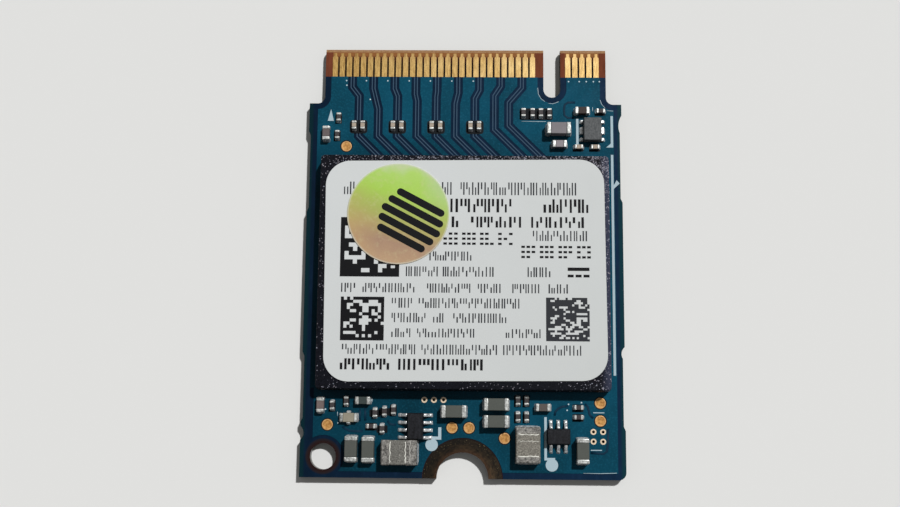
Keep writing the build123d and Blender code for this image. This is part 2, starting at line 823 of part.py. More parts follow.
def gull_wing_chip(name, place, turn, width, length, height, span, leads_per_side):
    """Moulded chip with bent leads on its two long sides, and the solder pad under each foot."""
    x, y = place
    z_body = z_top + chip_standoff
    z_bend = z_body + (height - lead_thickness) / 2
    z_foot = z_top + solder_height
    with BuildPart() as body:
        with BuildSketch(Plane.XY.offset(z_body)):
            with Locations((x, y)):
                Rectangle(width, length, rotation=turn)
        extrude(amount=height)
        chamfer(body.faces().sort_by(Axis.Z)[-1].edges(), body_draft)
    save(body, f"{name}_body")
    rise = (span - width) / 2 - lead_foot
    with BuildPart() as lead:
        with BuildSketch(Plane.XZ):
            Polygon(
                (width / 2, z_bend),
                (width / 2, z_bend + lead_thickness),
                (width / 2 + rise - lead_thickness / 2, z_bend + lead_thickness),
                (width / 2 + rise + lead_thickness, z_foot + lead_thickness),
                (span / 2, z_foot + lead_thickness),
                (span / 2, z_foot),
                (width / 2 + rise, z_foot),
                (width / 2 + rise - lead_thickness, z_bend),
            )
        extrude(amount=lead_width / 2, both=True)
    row = [(step - (leads_per_side - 1) / 2) * lead_pitch for step in range(leads_per_side)]
    seats = [
        Location((x, y, 0), (0, 0, turn + half_turn)) * Location((0, offset_y, 0))
        for half_turn in (across, opposite)
        for offset_y in row
    ]
    with BuildPart() as leads:
        with Locations(*seats):
            add(lead.part)
    save(leads, f"{name}_leads")
    lay_solder(
        [(seat.position.X, seat.position.Y, seat.orientation.Z) for seat in seats],
        span / 2 - lead_foot,
        span / 2 + solder_reach,
        lead_width + 2 * solder_margin,
    )


gull_wing_chip(
    "regulator_chip",
    rear_place(-0.291, 0.575),
    across,
    regulator_width,
    regulator_length,
    regulator_height,
    regulator_span,
    regulator_leads_per_side,
)
gull_wing_chip(
    "load_switch_chip",
    rear_place(0.585, 0.474),
    upright,
    switch_length,
    switch_width,
    switch_height,
    switch_span,
    switch_leads_per_side,
)

# Flat power chip beside the connector
power_x, power_y = front_place(0.810, 0.516)
with BuildPart() as power_body:
    with BuildSketch(Plane.XY.offset(z_chip)):
        with Locations((power_x, power_y)):
            Rectangle(power_width, power_length)
    extrude(amount=power_height)
    chamfer(power_body.faces().sort_by(Axis.Z)[-1].edges(), chip_edge)
save(power_body, "power_chip_body")

contact_rows = (
    (power_contact_pitch, power_contact_width),
    (0, power_contact_wide),
    (-power_contact_pitch, power_contact_width),
)
with BuildPart() as power_contacts:
    with BuildSketch(Plane.XY.offset(z_chip)):
        for side in (-1, 1):
            contact_x = power_x + side * (power_width + power_contact_reach) / 2
            for offset_y, wide in contact_rows:
                with Locations((contact_x, power_y + offset_y)):
                    Rectangle(power_contact_reach, wide)
    extrude(amount=power_contact_thickness)
save(power_contacts, "power_chip_contacts")
for offset_y, wide in contact_rows:
    lay_solder(
        [(power_x, power_y + offset_y, half_turn) for half_turn in (across, opposite)],
        power_width / 2,
        power_width / 2 + power_contact_reach + solder_margin,
        wide + solder_margin,
    )

# Three-terminal filter: ceramic body, a metal end at each side and a tab at the middle of each long side
filter_x, filter_y = rear_place(-0.702, 0.667)
with BuildPart() as filter_body:
    with Locations((filter_x, filter_y, z_chip)):
        Box(filter_length - 2 * filter_end, filter_width, filter_height, align=standing)
save(filter_body, "filter_body")
with BuildPart() as filter_terminals:
    for side in (-1, 1):
        with Locations((filter_x + side * (filter_length - filter_end) / 2, filter_y, z_chip)):
            Box(filter_end, filter_width, filter_height, align=standing)
        with Locations((filter_x, filter_y + side * (filter_width + filter_tab_reach) / 2, z_chip)):
            Box(filter_tab_width, filter_tab_reach, filter_height, align=standing)
save(filter_terminals, "filter_terminals")
lay_solder(
    [(filter_x, filter_y, half_turn) for half_turn in (across, opposite)],
    filter_length / 2 - filter_end,
    filter_length / 2 + solder_reach,
    filter_width + 2 * solder_margin,
)
lay_solder(
    [(filter_x, filter_y, upright + half_turn) for half_turn in (across, opposite)],
    filter_width / 2,
    filter_width / 2 + filter_tab_reach + solder_reach,
    filter_tab_width,
)

# Solder under every terminal
with BuildPart() as solder:
    for (near, far, wide), places in solder_pads.items():
        middle = Location(((near + far) / 2, 0, 0))
        pad_seats = [Location((x, y, z_top), (0, 0, turn)) * middle for x, y, turn in places]
        with Locations(*pad_seats):
            Box(far - near, wide, solder_height, align=standing)
save(solder, "solder_joints")

# Printed legend
triangle_x, triangle_y = front_place(-0.861, 0.68)
blob_places = [rear_place(-0.190, 0.372), rear_place(0.546, 0.159)]
corner_x, corner_y = rear_place(-0.141, 0.447)
switch_line_x, switch_line_y = rear_place(0.508, 0.225)
dash_places = [rear_place(0.835, 0.745), rear_place(0.818, 0.328)]
arrow_x = package_width / 2 + legend_side_gap + legend_line
arrow_share = 0.385
arrow_y = y_package + arrow_share * package_length
power_line_y = power_y - legend_power_drop
left_line_x = power_x - power_width / 2 - power_contact_reach - legend_line
right_line_x = power_x + power_width / 2 + power_contact_reach + legend_power_gap + legend_line
with BuildPart() as legend:
    with BuildSketch(Plane.XY.offset(z_top)):
        Polygon(
            (triangle_x - legend_triangle_width / 2, triangle_y),
            (triangle_x + legend_triangle_width / 2, triangle_y),
            (triangle_x, triangle_y + legend_triangle_height),
        )
        with Locations((arrow_x - legend_line / 2, y_package + (legend_front_reach - legend_rear_reach) / 2)):
            Rectangle(legend_line, package_length + legend_front_reach + legend_rear_reach)
        Polygon(
            (arrow_x, arrow_y),
            (arrow_x + legend_arrow / 2, arrow_y + legend_arrow_rise),
            (arrow_x + legend_arrow, arrow_y + legend_arrow_rise - legend_arrow_tail),
            (arrow_x, arrow_y - legend_arrow_tail),
        )
        for line_x, extra in ((left_line_x, 0), (right_line_x, legend_foot)):
            with Locations((line_x, power_line_y)):
                Rectangle(legend_line, legend_power_length + extra)
        Polygon(
            (right_line_x + legend_line / 2, power_line_y - legend_power_length / 2 - legend_foot / 2),
            (right_line_x + legend_line / 2, power_line_y - legend_power_length / 2 + legend_foot / 2),
            (right_line_x - legend_foot, power_line_y - legend_power_length / 2 - legend_foot / 2),
        )
        with Locations((corner_x, corner_y + legend_corner_rise / 2)):
            Rectangle(legend_corner_line, legend_corner_rise)
        with Locations((corner_x - (legend_corner_length - legend_corner_line) / 2, corner_y)):
            Rectangle(legend_corner_length, legend_corner_line)
        with Locations(*blob_places):
            Circle(legend_blob / 2)
        with Locations((switch_line_x, switch_line_y + legend_switch_length / 2)):
            Rectangle(legend_line, legend_switch_length)
        with Locations((switch_line_x + (legend_switch_foot - legend_line) / 2, switch_line_y)):
            Rectangle(legend_switch_foot, legend_line)
        with Locations(*dash_places):
            Rectangle(legend_dash, legend_thin_line)
    extrude(amount=legend_thickness)
save(legend, "printed_legend")
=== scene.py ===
import json
import math
import random

import bmesh
import bpy
from mathutils import Matrix, Vector


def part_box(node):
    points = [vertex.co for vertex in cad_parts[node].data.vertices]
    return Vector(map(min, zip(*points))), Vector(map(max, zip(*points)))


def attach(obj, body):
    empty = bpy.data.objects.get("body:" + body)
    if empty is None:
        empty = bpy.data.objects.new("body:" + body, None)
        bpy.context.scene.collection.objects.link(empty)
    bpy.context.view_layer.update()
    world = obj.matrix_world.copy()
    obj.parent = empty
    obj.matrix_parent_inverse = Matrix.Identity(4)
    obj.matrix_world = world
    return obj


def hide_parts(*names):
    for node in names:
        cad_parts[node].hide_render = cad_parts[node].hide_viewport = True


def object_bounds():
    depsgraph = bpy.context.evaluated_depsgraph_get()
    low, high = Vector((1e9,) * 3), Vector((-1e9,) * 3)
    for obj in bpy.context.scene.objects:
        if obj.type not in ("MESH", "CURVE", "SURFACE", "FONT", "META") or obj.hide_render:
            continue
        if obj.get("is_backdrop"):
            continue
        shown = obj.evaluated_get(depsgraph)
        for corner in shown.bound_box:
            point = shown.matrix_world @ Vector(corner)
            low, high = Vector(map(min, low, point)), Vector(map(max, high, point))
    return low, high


# Finishes, camera and light for the gumstick solid state drive. Lengths below are in metres, or in
# millimetres times MM. The frame: +Y to the card edge, +Z to the component side, underside at z = 0.

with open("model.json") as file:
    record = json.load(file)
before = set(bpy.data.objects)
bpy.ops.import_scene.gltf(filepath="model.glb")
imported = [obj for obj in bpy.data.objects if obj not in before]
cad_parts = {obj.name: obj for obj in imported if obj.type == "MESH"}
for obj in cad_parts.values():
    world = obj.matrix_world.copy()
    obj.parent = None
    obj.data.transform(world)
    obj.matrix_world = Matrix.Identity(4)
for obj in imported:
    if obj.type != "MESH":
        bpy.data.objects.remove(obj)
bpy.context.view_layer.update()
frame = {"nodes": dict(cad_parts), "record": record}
MM = 0.001
NODES = frame["nodes"]

# Heights of the board's surface: mask over copper, its traces, bare mask and stripped laminate
Z_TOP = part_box("printed_legend")[0].z
Z_TRACE = Z_TOP - 0.004 * MM
Z_PAD_RIM = Z_TOP - 0.0095 * MM
Z_BARE_MASK = Z_TOP - 0.0155 * MM
STRIP_DEPTH = 0.0325 * MM
Z_STRIPPED = Z_TOP - STRIP_DEPTH

# Places on the board
FINGERS_LOW, FINGERS_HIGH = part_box("edge_fingers_top")
Y_MASK = FINGERS_LOW.y
Y_TIP = FINGERS_HIGH.y
FINGERS_END = max(-FINGERS_LOW.x, FINGERS_HIGH.x)
KEY_MIDDLE = 6 * MM
KEY_REACH = 1.07 * MM
FRONT_ZONE_Y = 8 * MM
BOARD_WIDTH = 22 * MM
TONGUE_WIDTH = 20 * MM
PACKAGE_WIDTH = 20 * MM
EDGE_X = 10.72 * MM
NOTCH_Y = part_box("screw_pad")[0].y
SCREW_PAD_RADIUS = 2.66 * MM
SCREW_PAD_ARC = 1.6 * MM
SCREW_PAD_SPAN = 3 * MM
HOLE_MIDDLE = Vector((-9.42, -13.6)) * MM
HOLE_COLLAR = 1.18 * MM
LABEL_SPAN = 36 * MM
SEAL_LOW, SEAL_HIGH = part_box("round_seal")


def srgb(red, green, blue):
    """Linear colour of an 8-bit one."""
    linear = []
    for value in (red, green, blue):
        share = value / 255
        linear.append(share / 12.92 if share <= 0.04045 else ((share + 0.055) / 1.055) ** 2.4)
    return (*linear, 1)


class Nodes:
    """A tree of shader nodes, with short calls that add nodes and link them."""

    def __init__(self, tree):
        self.tree = tree

    def feed(self, socket, value):
        """Link an output to a socket, or set the socket's own value."""
        if isinstance(value, bpy.types.NodeSocket):
            self.tree.links.new(value, socket)
        else:
            socket.default_value = value

    def new(self, kind, *values):
        """A new node, its first inputs fed with the values."""
        made = self.tree.nodes.new(f"ShaderNode{kind}")
        for socket, value in zip(made.inputs, values):
            self.feed(socket, value)
        return made

    def math(self, operation, *values, clamp=False):
        made = self.new("Math", *values)
        made.operation = operation
        made.use_clamp = clamp
        return made.outputs[0]

    def plus(self, first, second):
        return self.math("ADD", first, second)

    def minus(self, first, second):
        return self.math("SUBTRACT", first, second)

    def times(self, first, second):
        return self.math("MULTIPLY", first, second)


class Finish(Nodes):
    """One procedural material: a Principled shader and the nodes that feed it."""

    def __init__(self, name, metallic=0, specular=0.5, coat=0):
        self.material = bpy.data.materials.new(name)
        self.material.use_nodes = True
        super().__init__(self.material.node_tree)
        self.shader = self.tree.nodes["Principled BSDF"]
        self.shader.inputs["Metallic"].default_value = metallic
        self.shader.inputs["Specular IOR Level"].default_value = specular
        self.shader.inputs["Coat Weight"].default_value = coat
        self.place = self.new("TexCoord").outputs["Object"]

    def line(self, value, slope, start, clamp=False):
        """The start and a slope times the value."""
        return self.math("MULTIPLY_ADD", value, slope, start, clamp=clamp)

    def distance(self, x, y):
        """Distance from the middle of two coordinates."""
        return self.math("SQRT", self.plus(self.times(x, x), self.times(y, y)))

    def over(self, value, limit, soft=0):
        """1 where the value is over the limit, with an optional soft edge."""
        if not soft:
            return self.math("GREATER_THAN", value, limit)
        return self.line(value, 1 / soft, 0.5 - limit / soft, clamp=True)

    def axes(self, vector=None):
        """X, Y and Z of a place."""
        return self.new("SeparateXYZ", vector or self.place).outputs

    def vector(self, x, y, z):
        return self.new("CombineXYZ", x, y, z).outputs[0]

    def noise(self, cell, vector=None, detail=3, rough=0.55):
        """Soft noise from 0 to 1, with blotches about one cell wide, in millimetres."""
        made = self.new("TexNoise", vector or self.place, 0, 1 / (cell * MM), detail, rough)
        return made.outputs["Fac"]

    def streaks(self, cell, scales, **details):
        """Soft noise drawn out by a scale for each axis."""
        made = self.new("Mapping", self.place)
        made.inputs["Scale"].default_value = scales
        return self.noise(cell, made.outputs[0], **details)

    def cells(self, cell):
        """Random colour for each cell of about this width in millimetres."""
        return self.new("TexVoronoi", self.place, 0, 1 / (cell * MM)).outputs["Color"]

    def ramp(self, share, *stops):
        """Colour between stops, each a share and a colour."""
        made = self.new("ValToRGB", share)
        elements = made.color_ramp.elements
        while len(elements) < len(stops):
            elements.new(0.5)
        for element, (at, colour) in zip(elements, stops):
            element.position = at
            element.color = colour
        return made.outputs["Color"]

    def steps(self, share, *stops):
        """A value between stops, each a share and a value."""
        return self.ramp(share, *[(at, (value, value, value, 1)) for at, value in stops])

    def mix(self, share, first, second, mode="MIX"):
        made = self.new("Mix")
        made.data_type = "RGBA"
        made.blend_type = mode
        self.feed(made.inputs["Factor"], share)
        self.feed(made.inputs["A"], first)
        self.feed(made.inputs["B"], second)
        return made.outputs["Result"]

    def blend(self, share, start, end, first, second, most=1):
        """From the first colour at a start of the share to the second, or most of it, at an end."""
        return self.mix(self.steps(share, (start, 0), (end, most)), first, second)

    def lit(self, colour, factor):
        """A colour times a factor."""
        return self.mix(1, colour, self.vector(factor, factor, factor), "MULTIPLY")

    def colour(self, value):
        self.feed(self.shader.inputs["Base Color"], value)

    def roughness(self, value):
        self.feed(self.shader.inputs["Roughness"], value)

    def uneven(self, noise, first, second, start=0.3):
        """Roughness that goes from one value to another with a noise."""
        self.roughness(self.steps(noise, (start, first), (0.7, second)))

    def bumped(self, height, depth, strength):
        """The material, with a bump of a depth in millimetres."""
        made = self.new("Bump", strength, depth * MM)
        self.feed(made.inputs["Height"], height)
        self.feed(self.shader.inputs["Normal"], made.outputs[0])
        return self.material


# Colours read from the photograph
TEAL = srgb(11, 66, 86)
TEAL_DEEP = srgb(9, 50, 64)
TEAL_LIT = srgb(20, 80, 100)
EDGE_TEAL = srgb(14, 46, 54)
# TRACE_BLUE on the trace tops is partly the mask over copper and partly a painted glint off the trace
# edges
TRACE_BLUE = srgb(62, 84, 104)
NAVY = srgb(17, 40, 64)
NAVY_DEEP = srgb(12, 28, 46)
NAVY_LIT = srgb(30, 56, 84)
LAMINATE = srgb(132, 70, 46)
LAMINATE_DARK = srgb(80, 44, 30)
LAMINATE_SHADE = srgb(26, 18, 14)
LAMINATE_TIP = srgb(140, 92, 52)
RING_SHADE = srgb(40, 26, 26)
COLLAR_BROWN = srgb(36, 30, 34)
GOLD = srgb(214, 176, 104)
GOLD_PALE = srgb(238, 208, 146)
GOLD_DEEP = srgb(150, 112, 56)
GOLD_PITTED = srgb(104, 76, 40)
GOLD_WORN = srgb(150, 108, 60)
BRONZE = srgb(60, 47, 32)
BRONZE_DARK = srgb(18, 15, 11)
BRONZE_WARM = srgb(74, 49, 33)
BRONZE_SCRATCH_AND_GLINT = srgb(150, 136, 100)
COPPER = srgb(208, 158, 92)
# Factors on a colour, FRONT_LIGHT among them being painted light on the front zone of the mask, and the
# roughness of stripped laminate
POWDER_WARMTH = (1.26, 1.22, 1.16, 1)
FRONT_LIGHT = 1.36
DULL = (0.75, 0.75, 0.75, 1)


def poured_mask(mat, y, rightward):
    """Mask over copper, with painted light that makes it lighter in the front zone and to the right."""
    blotch = mat.noise(4, detail=4)
    poured = mat.blend(blotch, 0.3, 0.7, TEAL_DEEP, TEAL)
    poured = mat.blend(mat.noise(0.13), 0.5, 0.72, poured, TEAL_LIT, 0.6)
    # Painted light: the mask grows lighter towards the right, and lighter still in the front zone
    front = mat.over(y, FRONT_ZONE_Y, 2 * MM)
    return mat.lit(poured, mat.plus(rightward, mat.times(front, mat.minus(FRONT_LIGHT, rightward))))


def bare_mask(mat, x, y, wide, rightward):
    """Mask over bare laminate: navy, teal at the long edges, lighter towards the right as painted light,
    and brown round the tooling hole.
    """
    weave = mat.streaks(0.3, (1, 0.25, 1), detail=2)
    bare = mat.mix(mat.noise(0.9), NAVY_DEEP, NAVY)
    bare = mat.blend(weave, 0.5, 0.8, bare, NAVY_LIT, 0.25)
    bare = mat.mix(mat.over(wide, EDGE_X, 0.16 * MM), bare, EDGE_TEAL)
    # Painted light: lighter towards the right
    bare = mat.lit(bare, rightward)
    from_hole = mat.distance(mat.minus(x, HOLE_MIDDLE.x), mat.minus(y, HOLE_MIDDLE.y))
    return mat.mix(mat.over(from_hole, HOLE_COLLAR, 0.1 * MM), COLLAR_BROWN, bare)


def stripped_laminate(mat, x, y, wide):
    """Laminate without mask: painted shade in the gaps between the fingers, warm at their tips, and
    painted shade behind the middle of the board, round the tooling hole.
    """
    fibres = mat.streaks(0.12, (1, 0.12, 1))
    stripped = mat.mix(fibres, LAMINATE_DARK, LAMINATE)
    inside = mat.minus(1, mat.over(wide, FINGERS_END))
    away = mat.over(mat.math("ABSOLUTE", mat.minus(x, KEY_MIDDLE)), KEY_REACH)
    among = mat.times(inside, away)
    length = Y_TIP - Y_MASK
    fall = mat.line(y, -1 / length, Y_TIP / length, clamp=True)
    # Painted shade in the narrow gaps between the fingers, deepest towards the mask
    gap = mat.times(among, mat.steps(fall, (0, 0.35), (0.45, 1)))
    stripped = mat.mix(gap, stripped, LAMINATE_SHADE)
    tips = mat.times(among, mat.over(y, Y_TIP - 0.24 * MM, 0.16 * MM))
    stripped = mat.mix(tips, stripped, LAMINATE_TIP)
    # Painted shade: stripped laminate behind the middle of the board, round the tooling hole, takes
    # RING_SHADE
    return mat.mix(mat.over(y, 0), RING_SHADE, stripped)


def board_finish():
    """Solder mask whose colour follows the copper below it, and laminate where it is stripped."""
    mat = Finish("solder_mask_on_laminate", specular=0.06)
    x, y, z = mat.axes()
    wide = mat.math("ABSOLUTE", x)
    # Painted light on the mask: a factor that grows towards the right
    rightward = mat.line(x, 0.55 / BOARD_WIDTH, 1)
    poured = poured_mask(mat, y, rightward)
    stripped = stripped_laminate(mat, x, y, wide)
    top = mat.mix(mat.over(z, Z_STRIPPED), stripped, bare_mask(mat, x, y, wide, rightward))
    # Trace tops: partly mask over copper, partly a painted glint off their edges
    top = mat.mix(mat.over(z, Z_BARE_MASK), top, TRACE_BLUE)
    top = mat.mix(mat.over(z, Z_TRACE), top, poured)
    under = mat.mix(mat.over(z, STRIP_DEPTH), poured, stripped)
    near_top = mat.math("LESS_THAN", mat.minus(Z_TOP, z), Z_TOP / 2)
    faces = mat.mix(near_top, under, top)
    normal = mat.new("NewGeometry").outputs["True Normal"]
    upward = mat.math("ABSOLUTE", mat.axes(normal)[2])
    plies = mat.streaks(0.03, (0.15, 0.15, 2.2), detail=2)
    side = mat.mix(plies, srgb(30, 34, 22), srgb(62, 58, 34))
    bevel = mat.mix(mat.streaks(0.1, (1, 0.3, 1)), srgb(110, 76, 50), srgb(176, 138, 100))
    not_side = mat.over(upward, 0.3)
    sloped = mat.times(not_side, mat.math("LESS_THAN", upward, 0.97))
    mat.colour(mat.mix(sloped, mat.mix(not_side, side, faces), bevel))
    sheen = mat.steps(mat.noise(0.5), (0.3, 0.17), (0.7, 0.26))
    mat.roughness(mat.mix(mat.over(y, Y_MASK), sheen, DULL))
    return mat.bumped(mat.noise(0.16, detail=4), 0.003, 0.5)


def gold_finish():
    """Hard gold on the fingers, with lengthwise streaks, speckles, worn tips, and pale patches towards the
    right that are a painted sheen.
    """
    mat = Finish("finger_gold", metallic=0.3, specular=0.2)
    x, y, _ = mat.axes()
    streak = mat.streaks(0.03, (1, 0.06, 1), detail=4, rough=0.7)
    speckle = mat.streaks(0.05, (1, 0.6, 1), rough=0.7)
    patch = mat.streaks(1.2, (1, 0.5, 1))
    rightward = mat.line(x, 1 / TONGUE_WIDTH, 0.5, clamp=True)
    base = mat.blend(streak, 0.36, 0.62, GOLD_DEEP, GOLD)
    # Painted sheen: pale patches that grow towards the right
    base = mat.mix(mat.times(rightward, mat.steps(patch, (0.35, 0.2), (0.65, 0.9))), base, GOLD_PALE)
    base = mat.mix(mat.steps(speckle, (0.32, 0.6), (0.46, 0)), base, GOLD_PITTED)
    tip = mat.over(y, Y_TIP - 0.35 * MM, 0.7 * MM)
    mat.colour(mat.blend(tip, 0, 1, base, GOLD_WORN, 0.45))
    mat.uneven(streak, 0.24, 0.38)
    return mat.bumped(streak, 0.002, 0.6)


def bronze_finish():
    """Dark plating of the screw pad, partly oxide and partly a painted reflection of dark surroundings,
    painted lighter to the right and rear, with a few pale marks near the outer edge that are partly
    scratches a screw head left and partly painted glints.
    """
    mat = Finish("screw_pad_plating", metallic=0.25, specular=0.15)
    x, y, _ = mat.axes()
    along = mat.minus(y, NOTCH_Y)
    radius = mat.distance(x, along)
    arc = mat.times(mat.math("ARCTAN2", along, x), SCREW_PAD_ARC)
    turned = mat.vector(arc, mat.times(radius, 2), 0)
    scratch = mat.noise(0.14, turned, detail=5, rough=0.7)
    blotch = mat.mix(0.5, mat.noise(0.5, detail=4), mat.noise(0.2, turned, detail=4))
    # The dark base is partly oxide and partly a painted reflection of dark surroundings
    base = mat.blend(blotch, 0.38, 0.62, BRONZE_DARK, BRONZE)
    # Painted light: lighter to the right and to the rear
    rightward = mat.line(x, 0.6 / SCREW_PAD_RADIUS, 1.1)
    rearward = mat.line(along, -0.7 / SCREW_PAD_RADIUS, 1.25)
    base = mat.lit(base, mat.times(rightward, rearward))
    ring = mat.times(radius, 1 / SCREW_PAD_SPAN)
    base = mat.mix(mat.steps(ring, (0.58, 0.6), (0.68, 0)), base, BRONZE_WARM)
    outer = mat.steps(ring, (0.7, 0), (0.8, 1))
    base = mat.mix(mat.times(outer, 0.6), base, BRONZE_DARK)
    # Pale marks near the outer edge: partly scratches, partly painted glints
    marks = mat.times(outer, mat.steps(scratch, (0.6, 0), (0.66, 0.8)))
    mat.colour(mat.mix(marks, base, BRONZE_SCRATCH_AND_GLINT))
    mat.uneven(scratch, 0.48, 0.26, start=0.4)
    return mat.bumped(mat.mix(0.5, scratch, blotch), 0.006, 0.7)


def copper_finish(name, dark, pale):
    """Bare copper with a clear finish; its raised rims are paler, a painted highlight."""
    mat = Finish(name, metallic=0.2, specular=0.2)
    blotch = mat.noise(0.16, detail=4, rough=0.6)
    base = mat.blend(blotch, 0.34, 0.66, srgb(*dark), COPPER)
    # Painted highlight on the raised rims
    mat.colour(mat.mix(mat.over(mat.axes()[2], Z_PAD_RIM, 0.003 * MM), base, srgb(*pale)))
    mat.uneven(blotch, 0.3, 0.48)
    return mat.bumped(mat.noise(0.06), 0.003, 0.6)


def tin_finish(name, dark, pale, depth, rough):
    """Tinned or soldered metal, uneven in tone and surface."""
    mat = Finish(name, metallic=0.45)
    blotch = mat.noise(0.16, detail=4, rough=0.6)
    fine = mat.noise(0.04, detail=2)
    mat.colour(mat.blend(blotch, 0.34, 0.62, srgb(*dark), srgb(*pale)))
    mat.uneven(fine, rough - 0.08, rough + 0.14)
    return mat.bumped(mat.mix(0.35, blotch, fine), depth, 0.8)


def band_finish():
    """Metal bands of the inductors, dull and blotched."""
    mat = Finish("inductor_bands", metallic=0.3, specular=0.3)
    grain = mat.noise(0.05, detail=4, rough=0.7)
    tone = mat.mix(0.5, grain, mat.noise(0.16))
    mat.colour(mat.blend(tone, 0.4, 0.62, srgb(56, 54, 52), srgb(164, 161, 155)))
    mat.uneven(grain, 0.34, 0.56)
    return mat.bumped(tone, 0.012, 0.9)


def ceramic_finish(name, dark, pale):
    """Fired ceramic body with fine pores and a faint tone across it."""
    mat = Finish(name, specular=0.2)
    grain = mat.noise(0.045)
    mat.colour(mat.mix(mat.mix(0.45, grain, mat.noise(0.5)), srgb(*dark), srgb(*pale)))
    mat.uneven(grain, 0.42, 0.62)
    return mat.bumped(grain, 0.004, 0.7)


def powder_finish():
    """Pressed metal powder of the inductor cores, warmer in the right one."""
    mat = Finish("pressed_metal_powder", metallic=0.1, specular=0.2)
    grain = mat.noise(0.09, detail=4, rough=0.7)
    base = mat.blend(grain, 0.36, 0.64, srgb(72, 71, 66), srgb(130, 128, 122))
    base = mat.blend(mat.cells(0.06), 0.8, 0.95, base, srgb(196, 192, 184), 0.5)
    warm = mat.mix(1, base, POWDER_WARMTH, "MULTIPLY")
    mat.colour(mat.mix(mat.over(mat.axes()[0], 0), base, warm))
    return mat.bumped(grain, 0.01, 0.9)


def sparkling_mould_finish():
    """Black moulding compound with bright filler specks; they crowd along the front and at the right as
    painted glints where light catches them, and the right edge is painted lighter as a highlight.
    """
    mat = Finish("package_moulding", specular=0.06)
    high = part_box("package_mould")[1]
    x, y, _ = mat.axes()
    grain = mat.noise(0.09, detail=4, rough=0.75)
    # Painted glints: the specks crowd along the front, more towards the right, and at the right front
    # corner
    front = mat.steps(mat.over(y, high.y - 0.6 * MM, 1.4 * MM), (0, 0), (1, 0.62))
    front = mat.times(front, mat.line(x, 0.62 / PACKAGE_WIDTH, 0.69))
    frontward = mat.line(mat.over(y, high.y - 2.2 * MM, 2.4 * MM), 0.6, 0.1)
    corner = mat.times(mat.over(x, high.x - 1.6 * MM, 1.6 * MM), frontward)
    cluster = mat.times(mat.steps(mat.noise(0.8), (0.4, 0), (0.7, 1)), 0.035)
    share = mat.math("ADD", mat.math("MAXIMUM", front, corner), cluster, clamp=True)
    speck = mat.axes(mat.cells(0.062))
    bright = mat.over(speck[0], mat.line(share, -0.52, 0.975))
    shade = mat.line(speck[1], 0.5, 0.08)
    hue = mat.mix(speck[2], srgb(190, 194, 212), srgb(208, 198, 206))
    base = mat.blend(grain, 0.35, 0.68, srgb(4, 5, 9), srgb(22, 23, 32))
    # Painted highlight: the right edge is lighter
    rightmost = mat.over(x, high.x - 0.5 * MM, 0.5 * MM)
    base = mat.mix(mat.times(rightmost, 0.75), base, srgb(60, 64, 84))
    mat.colour(mat.mix(mat.times(bright, shade), base, hue))
    mat.uneven(grain, 0.4, 0.6)
    return mat.bumped(grain, 0.009, 0.8)


def mould_finish(name, dark, pale, streak):
    """Plain moulding compound of the small chips, with a faint draw along one way."""
    mat = Finish(name, specular=0.14)
    grain = mat.noise(0.12, detail=4, rough=0.75)
    drawn = mat.streaks(0.12, (1, 0.18, 1))
    mat.colour(mat.blend(mat.mix(streak, grain, drawn), 0.35, 0.7, srgb(*dark), srgb(*pale)))
    mat.uneven(grain, 0.42, 0.62)
    return mat.bumped(grain, 0.006, 0.8)


def paper_finish():
    """White film label with a very fine tooth, and painted light that makes it a little brighter towards
    the front left.
    """
    mat = Finish("label_film", specular=0.12)
    x, y, _ = mat.axes()
    fine = mat.noise(0.03)
    # Painted light: a little brighter towards the front left
    lean = mat.line(mat.minus(y, x), 1 / LABEL_SPAN, 0.5, clamp=True)
    base = mat.mix(mat.mix(0.35, lean, mat.noise(3)), srgb(199, 202, 200), srgb(214, 217, 217))
    mat.colour(mat.blend(fine, 0.4, 0.75, base, srgb(190, 192, 193), 0.25))
    mat.uneven(fine, 0.38, 0.5)
    return mat.bumped(fine, 0.0015, 0.5)


def flat_finish(name, colour, patch):
    """A flat colour, a little uneven in its coverage: printed ink, the dark groove lines, and the painted
    shade, glints and highlights on the board and the inductors.
    """
    mat = Finish(name, specular=0.12)
    grain = mat.noise(0.03)
    mat.colour(mat.blend(grain, 0.45, 0.8, srgb(*colour), srgb(*patch), 0.5))
    mat.uneven(grain, 0.5, 0.7)
    return mat.bumped(grain, 0.001, 0.4)


# Share from the rear to the front of the seal, and its colour there
SEAL_COLOURS = [
    (0.05, (184, 152, 120)),
    (0.22, (168, 136, 112)),
    (0.36, (174, 156, 104)),
    (0.54, (166, 180, 92)),
    (0.74, (166, 204, 84)),
    (0.92, (172, 208, 104)),
    (1, (186, 206, 150)),
]


